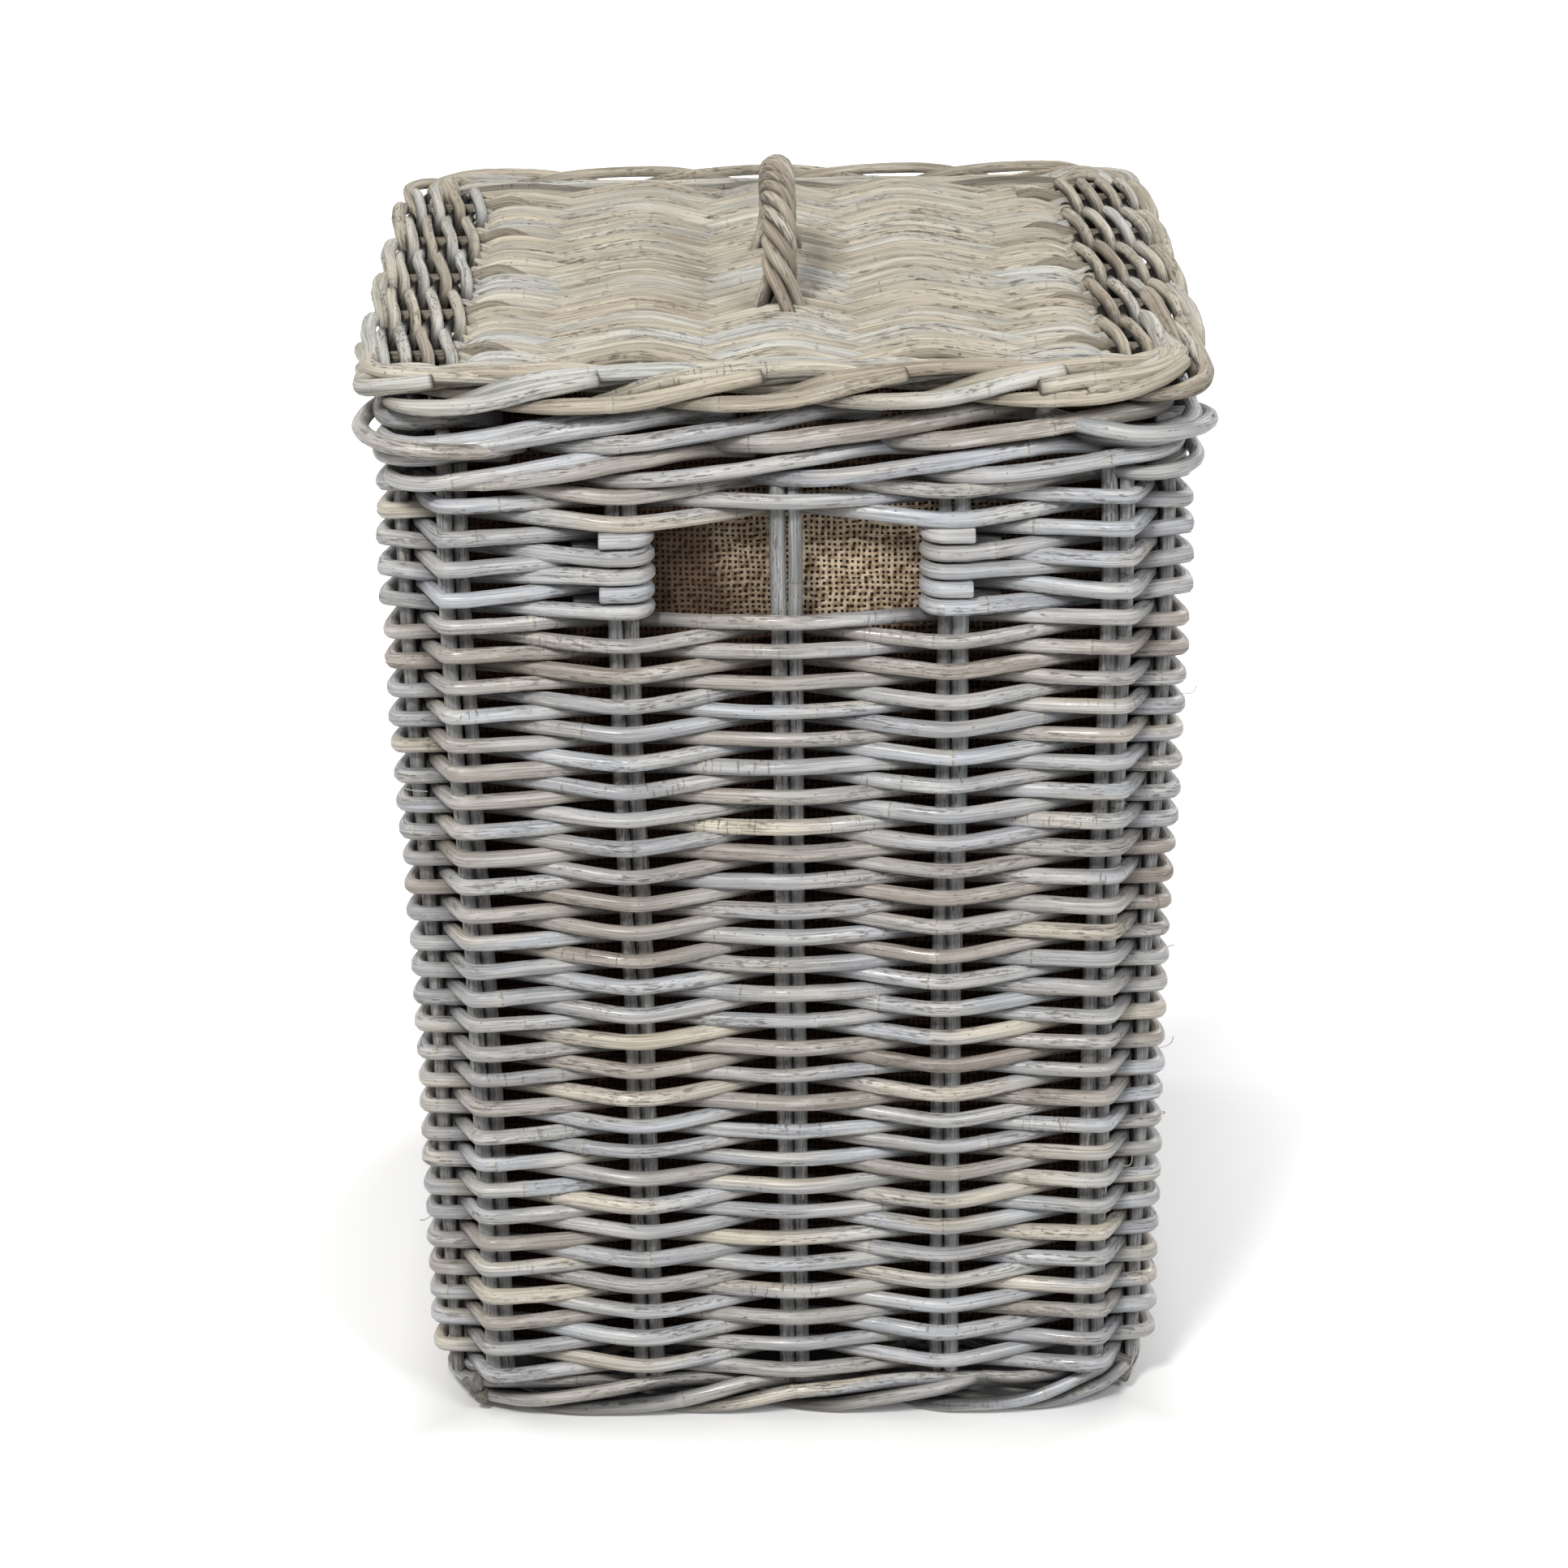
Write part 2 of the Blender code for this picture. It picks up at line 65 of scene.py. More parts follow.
# name, place, the point it faces, size, watts, colour
LAMPS = (
    ("key_light", (-0.75, -2.1, 2.5), (0.0, -0.1, 0.30), 0.60, 57.0, (1.0, 0.985, 0.955)),
    ("second_light", (1.3, -2.0, 2.0), (0.0, -0.1, 0.28), 0.9, 27.0, (0.95, 0.975, 1.0)),
    ("side_light", (-1.9, 0.5, 2.3), (0.0, 0.1, 0.4), 1.4, 20.0, (1.0, 0.99, 0.97)),
    ("back_light", (1.6, 2.3, 2.1), (0.0, 0.1, 0.3), 1.6, 40.0, (1.0, 0.99, 0.97)),
)


def add_camera():
    """A camera whose axes are turned by yaw, pitch and then roll."""
    ahead = np.array((
        math.sin(CAMERA_YAW) * math.cos(CAMERA_PITCH),
        math.cos(CAMERA_YAW) * math.cos(CAMERA_PITCH),
        -math.sin(CAMERA_PITCH),
    ))
    right = np.array((math.cos(CAMERA_YAW), -math.sin(CAMERA_YAW), 0.0))
    above = np.cross(right, ahead)
    across = math.cos(CAMERA_ROLL) * right + math.sin(CAMERA_ROLL) * above
    upward = math.cos(CAMERA_ROLL) * above - math.sin(CAMERA_ROLL) * right
    turned = Matrix(np.column_stack((across, upward, -ahead)).tolist()).to_4x4()
    camera = bpy.data.objects.new("camera", bpy.data.cameras.new("camera"))
    camera.data.lens = LENS_MM
    camera.data.clip_end = 50.0
    camera.matrix_world = Matrix.Translation(CAMERA_PLACE) @ turned
    bpy.context.scene.collection.objects.link(camera)
    bpy.context.scene.camera = camera


def add_lamps():
    """Soft round lamps, each turned to face its own point."""
    for name, place, target, size, watts, colour in LAMPS:
        lamp = bpy.data.lights.new(name, "AREA")
        lamp.shape = "DISK"
        lamp.size = size
        lamp.energy = watts
        lamp.color = colour
        holder = bpy.data.objects.new(name, lamp)
        turn = (Vector(target) - Vector(place)).to_track_quat("-Z", "Y")
        holder.matrix_world = Matrix.Translation(place) @ turn.to_matrix().to_4x4()
        bpy.context.scene.collection.objects.link(holder)


# ---------------------------------------------------------------- shader expressions


class Value:
    """A socket of a shader's nodes, which can be added, multiplied and stepped like a number."""

    def __init__(self, shader, socket):
        self.shader = shader
        self.socket = socket

    def __add__(self, other):
        return self.shader.maths("ADD", self, other)

    def __sub__(self, other):
        return self.shader.maths("SUBTRACT", self, other)

    def __rsub__(self, other):
        return self.shader.maths("SUBTRACT", other, self)

    def __mul__(self, other):
        return self.shader.maths("MULTIPLY", self, other)

    def __truediv__(self, other):
        return self.shader.maths("DIVIDE", self, other)

    def __abs__(self):
        return self.shader.maths("ABSOLUTE", self)

    __radd__ = __add__
    __rmul__ = __mul__

    def between(self, low, high):
        """Smooth step from 0 at low to 1 at high, or down from 1 to 0 if low is the larger."""
        return self.shader.step(self, low, high)

    def beside(self, out):
        """Another output of the node that this value comes from."""
        return Value(self.shader, self.socket.node.outputs[out])


class Shader:
    """The nodes of a material or a world, and the one way in which they are made."""

    def __init__(self, owner):
        self.owner = owner
        self.owner.use_nodes = True
        self.tree = self.owner.node_tree
        self.tree.nodes.clear()

    def node(self, kind, settings=None, sockets=None, out=0):
        """Adds a node of this kind, sets its settings, then the values or links of its sockets."""
        node = self.tree.nodes.new(kind)
        for name, setting in (settings or {}).items():
            if name == "stops":
                self.set_stops(node.color_ramp, setting)
            else:
                setattr(node, name, setting)
        for name, value in (sockets or {}).items():
            if isinstance(value, Value):
                self.tree.links.new(value.socket, node.inputs[name])
            else:
                node.inputs[name].default_value = value
        return Value(self, node.outputs[out]) if len(node.outputs) else node

    @staticmethod
    def set_stops(ramp, stops):
        """Gives a colour ramp these places and colours."""
        while len(ramp.elements) < len(stops):
            ramp.elements.new(0.5)
        for element, (place, colour) in zip(ramp.elements, stops):
            element.position = place
            element.color = (*colour, 1.0)

    def maths(self, operation, *values):
        """Math on one, two or three values."""
        return self.node("ShaderNodeMath", {"operation": operation}, dict(enumerate(values)))

    def vector(self, operation, first, second, out=0):
        """Vector Math on two vectors; its second output is a number, such as a dot product."""
        return self.node("ShaderNodeVectorMath", {"operation": operation}, {0: first, 1: second}, out)

    def step(self, value, low, high):
        """A smooth step of a value, which rises if low is below high and otherwise falls."""
        rising = low < high
        sockets = {0: value, 1: min(low, high), 2: max(low, high), 3: 0.0 if rising else 1.0,
                   4: 1.0 if rising else 0.0}
        return self.node("ShaderNodeMapRange", {"interpolation_type": "SMOOTHSTEP"}, sockets)

    def noise(self, place, stretch, detail=2.0, roughness=0.5):
        """Noise over a vector that is first multiplied by these three scales."""
        scaled = self.vector("MULTIPLY", place, stretch)
        sockets = {"Vector": scaled, "Scale": 1.0, "Detail": detail, "Roughness": roughness}
        return self.node("ShaderNodeTexNoise", {}, sockets)

    def blend(self, share, first, second, kind="MIX"):
        """Two colours mixed by a share of the second."""
        sockets = {0: share, 6: colour_of(first), 7: colour_of(second)}
        return self.node("ShaderNodeMix", {"data_type": "RGBA", "blend_type": kind}, sockets, out=2)

    def attribute(self, name, out="Fac"):
        """A value that the mesh holds at each of its points."""
        return self.node("ShaderNodeAttribute", {"attribute_name": name}, out=out)

    def seen_ray(self):
        """1 on what the camera sees, straight, in a gloss or through something clear, and 0 elsewhere."""
        camera = self.node("ShaderNodeLightPath", out="Is Camera Ray")
        glossy = camera.beside("Is Glossy Ray")
        clear = camera.beside("Is Transmission Ray")
        return self.maths("MAXIMUM", self.maths("MAXIMUM", camera, glossy), clear)

    def finish(self, colour, roughness, height, depth, specular):
        """The surface itself: its colour and gloss, with a height that bumps it to this depth."""
        bump = self.node("ShaderNodeBump", {}, {"Height": height, "Distance": depth, "Strength": 1.0})
        sockets = {
            "Base Color": colour,
            "Roughness": roughness,
            "Normal": bump,
            "Specular IOR Level": specular,
        }
        surface = self.node("ShaderNodeBsdfPrincipled", {}, sockets)
        self.node("ShaderNodeOutputMaterial", {}, {"Surface": surface})
        return self.owner


def colour_of(value):
    """A linked colour as it is, or three numbers with a full alpha."""
    return value if isinstance(value, Value) else (*value, 1.0)


# ---------------------------------------------------------------- finishes

# the wash as it dried on the rods, from bare brown to chalk, each with its share of the ramp
WALL_WASH = (
    (0.00, (0.300, 0.250, 0.210)),
    (0.14, (0.420, 0.372, 0.325)),
    (0.30, (0.480, 0.455, 0.430)),
    (0.46, (0.440, 0.450, 0.475)),
    (0.60, (0.560, 0.545, 0.525)),
    (0.74, (0.520, 0.545, 0.590)),
    (0.86, (0.620, 0.565, 0.480)),
    (1.00, (0.700, 0.630, 0.500)),
)
LID_WASH = (
    (0.00, (0.375, 0.310, 0.238)),
    (0.20, (0.520, 0.456, 0.360)),
    (0.45, (0.610, 0.552, 0.446)),
    (0.62, (0.598, 0.562, 0.485)),
    (0.78, (0.605, 0.605, 0.582)),
    (0.90, (0.680, 0.628, 0.510)),
    (1.00, (0.740, 0.668, 0.512)),
)
HANDLE_WASH = (
    (0.00, (0.375, 0.304, 0.234)),
    (0.50, (0.505, 0.432, 0.347)),
    (1.00, (0.640, 0.572, 0.472)),
)
STAKE_WASH = (
    (0.00, (0.240, 0.228, 0.218)),
    (0.50, (0.360, 0.360, 0.362)),
    (1.00, (0.520, 0.528, 0.535)),
)
# what shows on a rod besides its wash
CHALK = (0.68, 0.665, 0.63)
BARE_SKIN = (0.30, 0.245, 0.195)
KNUCKLE_HALO = (0.66, 0.62, 0.53)
SCUFF = (0.135, 0.118, 0.102)
PIT = (0.085, 0.070, 0.058)
CRACK = (0.12, 0.105, 0.095)
KNUCKLE_LINE = (0.16, 0.135, 0.11)
RATTAN_RELIEF = 0.22 * MM


def rattan(name, wash, roughness, chalk, grime, specular=0.4, knots=0.55, lined=1.0):
    """Washed rattan. Each rod takes a tone from the wash and drifts along its length; fine dark grain,
    broad streaks, chalky worn patches, specks, a dark line at every knuckle and, on a few rods,
    short cracks across the skin follow the rod's own coordinates. The painted shade that each point
    carries in the alpha of its tone darkens the colour and roughens the surface."""
    shader = Shader(bpy.data.materials.new(name))
    grain = shader.attribute("grain", out="Vector")
    tone = shader.node("ShaderNodeSeparateColor", {}, {0: shader.attribute("tone", out="Color")}, out=0)
    chalky, gloss = tone.beside(1), tone.beside(2)
    knuckle = shader.attribute("knuckle")

    drift = shader.noise(grain, (40.0, 40.0, 9.0), detail=1.0)
    base = shader.node("ShaderNodeValToRGB", {"stops": wash}, {0: tone * 0.78 + drift * 0.7 - 0.24})

    fine = shader.noise(grain, (1150.0, 1150.0, 24.0), detail=3.0, roughness=0.6)
    broad = shader.noise(grain, (330.0, 330.0, 11.0), detail=2.0)
    worn = shader.noise(grain, (210.0, 210.0, 46.0), detail=3.0, roughness=0.62)
    specks = shader.noise(grain, (900.0, 900.0, 330.0), detail=1.0)
    cross = shader.noise(grain, (120.0, 120.0, 620.0), detail=1.0)
    stretch = shader.noise(grain, (30.0, 30.0, 22.0), detail=0.0)
    dashes = shader.noise(grain, (820.0, 820.0, 150.0), detail=2.0, roughness=0.6)
    rubbed = shader.noise(grain, (150.0, 150.0, 17.0), detail=2.0)
    # painted shade, carried in the tone's alpha: low where a rod is hidden from the light
    painted_shade = shader.attribute("tone", out="Alpha")

    lines = fine.between(0.34, 0.60)
    streaks = broad.between(0.32, 0.66)
    patches = worn.between(0.50, 0.62) * chalky.between(0.10, 0.85)
    bare = worn.between(0.40, 0.30) * streaks
    pits = specks.between(0.70, 0.78)
    scuffs = dashes.between(0.51, 0.62) * rubbed.between(0.46, 0.62)
    cracks = cross.between(0.60, 0.70) * gloss.between(0.72, 0.86) * stretch.between(0.50, 0.58)
    broken = shader.noise(grain, (700.0, 700.0, 60.0), detail=1.0).between(0.36, 0.60)
    joint = abs(knuckle + (fine - 0.5) * 1.6).between(0.85, 0.15) * broken
    halo = abs(knuckle + 1.6).between(3.6, 0.4) * worn.between(0.30, 0.55)

    # grain lines and streaks darken the colour, and the painted shade from the tone's alpha darkens it
    # further
    shade = (1.0 - 0.38 * lined + lines * (0.42 * lined)) * (0.74 + streaks * 0.32) * painted_shade
    coloured = shader.blend(patches * chalk, base, CHALK)
    coloured = shader.blend(bare * 0.45, coloured, BARE_SKIN)
    coloured = shader.blend(halo * 0.42, coloured, KNUCKLE_HALO)
    coloured = shader.blend(scuffs * grime, coloured, SCUFF)
    coloured = shader.blend(pits * grime, coloured, PIT)
    coloured = shader.blend(cracks * 0.55, coloured, CRACK)
    coloured = shader.blend(joint * knots, coloured, KNUCKLE_LINE)
    grey = shader.node("ShaderNodeCombineColor", {}, {0: shade, 1: shade, 2: shade})
    coloured = shader.blend(1.0, coloured, grey, "MULTIPLY")

    matt = roughness + (1.0 - lines) * 0.15 + patches * 0.16 + scuffs * 0.25 - gloss * 0.12
    matt = matt + (1.0 - painted_shade) * 0.4
    height = lines * 0.45 + streaks * 0.25 - pits * 0.5 - scuffs * 0.35
    height = height - cracks * 0.8 - joint * 0.8 + patches * 0.25
    return shader.finish(coloured, matt, height, RATTAN_RELIEF, specular)


WEAVE_PITCH = 3.0 * MM
WEAVE_WAVER = 1.6
WEAVE_RELIEF = 0.5 * MM
# how the lit windows behind the hand holes fade in out of the painted shade: across, from below and from
# above
WINDOW_ACROSS = (0.125, 0.095)
WINDOW_FOOT = (0.440, 0.462)
WINDOW_TOP = (0.530, 0.512)
CREASE_MIDDLE = 0.485
THREAD_TAN = (0.400, 0.285, 0.185)
SLUB_TAN = (0.760, 0.625, 0.460)
FIBRE_TAN = (0.26, 0.18, 0.11)
# painted shade: the colour that the cloth takes where the rows shade it
CLOTH_IN_SHADE = (0.076, 0.042, 0.028)
# painted shade: the dark inside of the bag, seen through the gaps of the weave
WEAVE_GAP_SHADE = (0.014, 0.008, 0.005)


def hessian(name):
    """Open plain weave: two sets of round threads cross at the pitch, each passing over and under the
    other by the parity of the thread that it meets, with slubs, and gaps between them painted
    near-black as shade. Its outer face is painted in shade everywhere but in the windows of the hand
    holes, whose left halves carry the painted shade of a crease."""
    shader = Shader(bpy.data.materials.new(name))
    place = shader.node("ShaderNodeUVMap", {"uv_map": "cloth"})
    object_place = shader.node("ShaderNodeTexCoord", out="Object")
    x = shader.node("ShaderNodeSeparateXYZ", {}, {0: object_place})
    z = x.beside(2)
    # painted shade on the outer face: dark but in the windows behind the hand holes, darker on the left
    # with a crease across the left window, mottled by noise; the inner face keeps its light
    mottle = shader.noise(object_place, (9.0, 9.0, 9.0), detail=2.0)
    shade = abs(x).between(*WINDOW_ACROSS) * z.between(*WINDOW_FOOT) * z.between(*WINDOW_TOP) * 0.93 + 0.07
    crease = (x + (z - CREASE_MIDDLE) * 0.35).between(-0.022, -0.044)
    left = x.between(0.004, -0.004)
    shade = shade * (1.0 - left * (0.36 + crease * 0.54))
    facing = shader.node("ShaderNodeNewGeometry", out="Normal")
    level = shader.vector("MULTIPLY", object_place, (1.0, 1.0, 0.0))
    outside = shader.vector("DOT_PRODUCT", facing, level, out=1)
    shade = shader.maths("MAXIMUM", shade, outside.between(0.03, 0.0) * 0.9) * (0.62 + mottle * 0.62)
    waver = shader.noise(place, (55.0, 55.0, 1.0), detail=2.0)
    slub = shader.noise(place, (390.0, 130.0, 1.0), detail=2.0)
    slub_across = shader.noise(place, (130.0, 390.0, 1.0), detail=2.0)
    split = shader.node("ShaderNodeSeparateXYZ", {}, {0: place})
    across = split / WEAVE_PITCH + waver * WEAVE_WAVER
    upward = split.beside(1) / WEAVE_PITCH + waver * WEAVE_WAVER

    def thread(run, over, thickness):
        """A thread's round top, and how high it rides where it passes over or under."""
        middle = abs(shader.maths("FRACT", run) - 0.5)
        body = middle.between(0.46, 0.16) * (0.42 + thickness * 1.0)
        ride = shader.maths("COSINE", (over + shader.maths("FLOOR", run)) * math.pi)
        return body, ride

    warp, warp_ride = thread(across, upward, slub)
    weft, weft_ride = thread(upward, across, slub_across)
    warp_top = warp * (0.84 + warp_ride * 0.16)
    weft_top = weft * (0.84 - weft_ride * 0.16)
    height = shader.maths("MAXIMUM", warp_top, weft_top)
    fibre = shader.noise(place, (1500.0, 1500.0, 1.0), detail=2.0)
    tan = shader.blend((slub + slub_across).between(0.86, 1.14), THREAD_TAN, SLUB_TAN)
    tan = shader.blend(fibre.between(0.62, 0.4) * 0.4, tan, FIBRE_TAN)
    tan = shader.blend(shade, CLOTH_IN_SHADE, tan)
    colour = shader.blend(height.between(0.40, 0.74), WEAVE_GAP_SHADE, tan)
    return shader.finish(colour, 0.92 + height * 0.05, height, WEAVE_RELIEF, 0.15)


PAPER = (0.80, 0.80, 0.80, 1.0)
WHITE = (1.0, 1.0, 1.0, 1.0)
WORLD_LIGHT = 0.115


def floor_finish():
    """White paper that keeps the shadow: it is lifted towards white where the camera sees it away from
    the hamper, and is clear from beneath."""
    shader = Shader(bpy.data.materials.new("studio_floor"))
    place = shader.node("ShaderNodeSeparateXYZ", {}, {0: shader.node("ShaderNodeTexCoord", out="Object")})
    across = abs(place) - 0.18
    deep = abs(place.beside(1)) - 0.20
    beyond = shader.maths("MAXIMUM", across, deep)
    lift = beyond.between(-0.02, 0.05) * 0.31 + beyond.between(0.0, 0.35) * 0.69
    paper = shader.node("ShaderNodeBsdfDiffuse", {}, {"Color": PAPER})
    glow = shader.node("ShaderNodeEmission", {}, {"Color": WHITE, "Strength": shader.seen_ray() * lift})
    both = shader.node("ShaderNodeAddShader", {}, {0: paper, 1: glow})
    below = shader.node("ShaderNodeNewGeometry", out="Backfacing")
    clear = shader.node("ShaderNodeBsdfTransparent")
    surface = shader.node("ShaderNodeMixShader", {}, {0: below, 1: both, 2: clear})
    shader.node("ShaderNodeOutputMaterial", {}, {"Surface": surface})
    return shader.owner


def add_world():
    """White where the camera sees it, and a softer even light on everything else."""
    shader = Shader(bpy.data.worlds.new("studio"))
    strength = shader.seen_ray() * (1.0 - WORLD_LIGHT) + WORLD_LIGHT
    light = shader.node("ShaderNodeBackground", {}, {"Color": WHITE, "Strength": strength})
    shader.node("ShaderNodeOutputWorld", {}, {"Surface": light})
    bpy.context.scene.world = shader.owner


def add_floor():
    """A disc of paper under the hamper, worked out as one ring of points about its middle."""
    turn = np.linspace(0.0, 2.0 * math.pi, FLOOR_POINTS, endpoint=False)
    ring = np.column_stack((np.cos(turn), np.sin(turn), np.zeros(FLOOR_POINTS))) * FLOOR_RADIUS
    mesh = bpy.data.meshes.new("floor")
    mesh.from_pydata(ring.tolist(), [], [list(range(FLOOR_POINTS))])
    mesh.materials.append(floor_finish())
    floor = bpy.data.objects.new("floor", mesh)
    bpy.context.scene.collection.objects.link(floor)


# ---------------------------------------------------------------- curves


def through(t, places, values):
    """Smooth curve through values at these places: cubic Hermite pieces with averaged slopes."""
    places = np.asarray(places, float)
    values = np.asarray(values, float)
    t = np.asarray(t, float)
    slopes = np.gradient(values, places, axis=0)
    piece = np.clip(np.searchsorted(places, t) - 1, 0, len(places) - 2)
    width = places[piece + 1] - places[piece]
    u = np.clip((t - places[piece]) / width, 0.0, 1.0)
    if values.ndim > 1:
        u, width = u[:, None], width[:, None]
    start = (1 + 2 * u) * (1 - u) ** 2 * values[piece] + u * (1 - u) ** 2 * width * slopes[piece]
    end = u * u * (3 - 2 * u) * values[piece + 1] + u * u * (u - 1) * width * slopes[piece + 1]
    return start + end


def smooth(t):
    """Smooth step from 0 at 0 to 1 at 1, level beyond both."""
    t = np.clip(t, 0.0, 1.0)
    return t * t * (3.0 - 2.0 * t)


def wander(place, wavelength, rng):
    """A smooth irregular wave between about -1 and 1: four sines of unlike length and random phase."""
    lengths = wavelength * np.array((1.0, 0.61, 0.37, 0.23))
    weights = np.array((0.50, 0.30, 0.20, 0.12))
    phases = rng.uniform(0.0, 2.0 * math.pi, 4)
    return np.sin(2.0 * math.pi * np.asarray(place)[..., None] / lengths + phases) @ weights


def lengths_along(line):
    """Distance of each point from the line's start, along it."""
    return np.concatenate(([0.0], np.cumsum(np.linalg.norm(np.diff(line, axis=0), axis=1))))


def evenly(line, step):
    """The same line with points a step apart."""
    along = lengths_along(line)
    places = np.linspace(0.0, along[-1], max(int(along[-1] / step), 4))
    return np.column_stack([np.interp(places, along, line[:, k]) for k in range(line.shape[1])])


def eased(line, width, closed=True):
    """A line averaged over a rounded window that is this many points wide."""
    window = np.hanning(width + 2)[1:-1]
    window /= window.sum()
    if closed:
        padded = np.concatenate((line[-width:], line, line[:width]))
    else:
        padded = np.concatenate((np.repeat(line[:1], width, 0), line, np.repeat(line[-1:], width, 0)))
    smooth = [np.convolve(padded[:, k], window, mode="same")[width:-width] for k in range(line.shape[1])]
    return np.column_stack(smooth)


class RoundedLine:
    """A rounded rectangle run anticlockwise, measured by length from the middle of its front."""

    def __init__(self, half_x, half_y, radius):
        straight_x, straight_y = half_x - radius, half_y - radius
        bend = math.pi * radius / 2.0
        side, back = 2 * straight_y, 2 * straight_x
        runs = (straight_x, bend, side, bend, back, bend, side, bend, straight_x)
        self.marks = np.concatenate(([0.0], np.cumsum(runs)))
        self.turns = np.radians((-90, -90, 0, 0, 90, 90, 180, 180, 270, 270))
        self.middles_x = straight_x * np.array((0, 1, 1, 1, 1, -1, -1, -1, -1, 0))
        self.middles_y = straight_y * np.array((-1, -1, -1, 1, 1, 1, 1, -1, -1, -1))
        self.radius = radius
        self.length = self.marks[-1]
        self.straight_x, self.straight_y = straight_x, straight_y
        self.corners = self.marks[1:9:2] + bend / 2.0

    def at(self, along, outward):
        """The point this far along and this far outside the line."""
        along = np.mod(along, self.length)
        turn = np.interp(along, self.marks, self.turns)
        reach = self.radius + outward
        x = np.interp(along, self.marks, self.middles_x) + reach * np.cos(turn)
        y = np.interp(along, self.marks, self.middles_y) + reach * np.sin(turn)
        return x, y

    def corner_share(self, along, reach):
        """1 at the middle of each corner, and falling off as a bell of this width on both sides of it."""
        gaps = np.abs(np.mod(along, self.length)[:, None] - self.corners)
        nearest = np.minimum(gaps, self.length - gaps).min(axis=1)
        return np.exp(-(nearest / reach) ** 2)


# ---------------------------------------------------------------- rods

ROD_STEP = 7.0 * MM
ROD_TURN = math.radians(11.0)
ROD_SIDES = 10
KNUCKLE_GAPS = (90 * MM, 300 * MM)
# where rings go about a knuckle
KNUCKLE_STATIONS = np.array((-4.5, -1.5, -0.5, 0.5, 1.5, 4.5)) * MM
# the farthest distance from a knuckle that is kept, in millimetres
KNUCKLE_REACH = 40.0
CLOSEST_RINGS = 0.12 * MM
# the share of its radius by which a rod is uneven over each length, swells at a knuckle and is
# nicked there, with the swelling's and the nick's width
UNEVEN = ((0.030, 70 * MM), (0.018, 19 * MM))
KNUCKLE_SWELL = (0.055, 2.2 * MM)
KNUCKLE_NICK = (0.05, 0.5 * MM)
# how far from round a rod is, and the most that its broad side turns, in radians a metre
OVAL = 0.035
OVAL_TWIST = 9.0
# ends: distances from the tip in radii, and the share of the rod's radius at each
CUT = ((0.0, 0.08, 0.20, 0.36), (0.78, 0.91, 0.98, 1.0))
ROUND = ((0.0, 0.10, 0.35, 0.8, 1.3), (0.25, 0.55, 0.85, 0.98, 1.0))
BLUNT = ((0.0, 0.10, 0.24, 0.5), (0.72, 0.88, 0.97, 1.0))
THIN = ((0.0, 0.4, 3.0, 9.0), (0.18, 0.34, 0.62, 1.0))


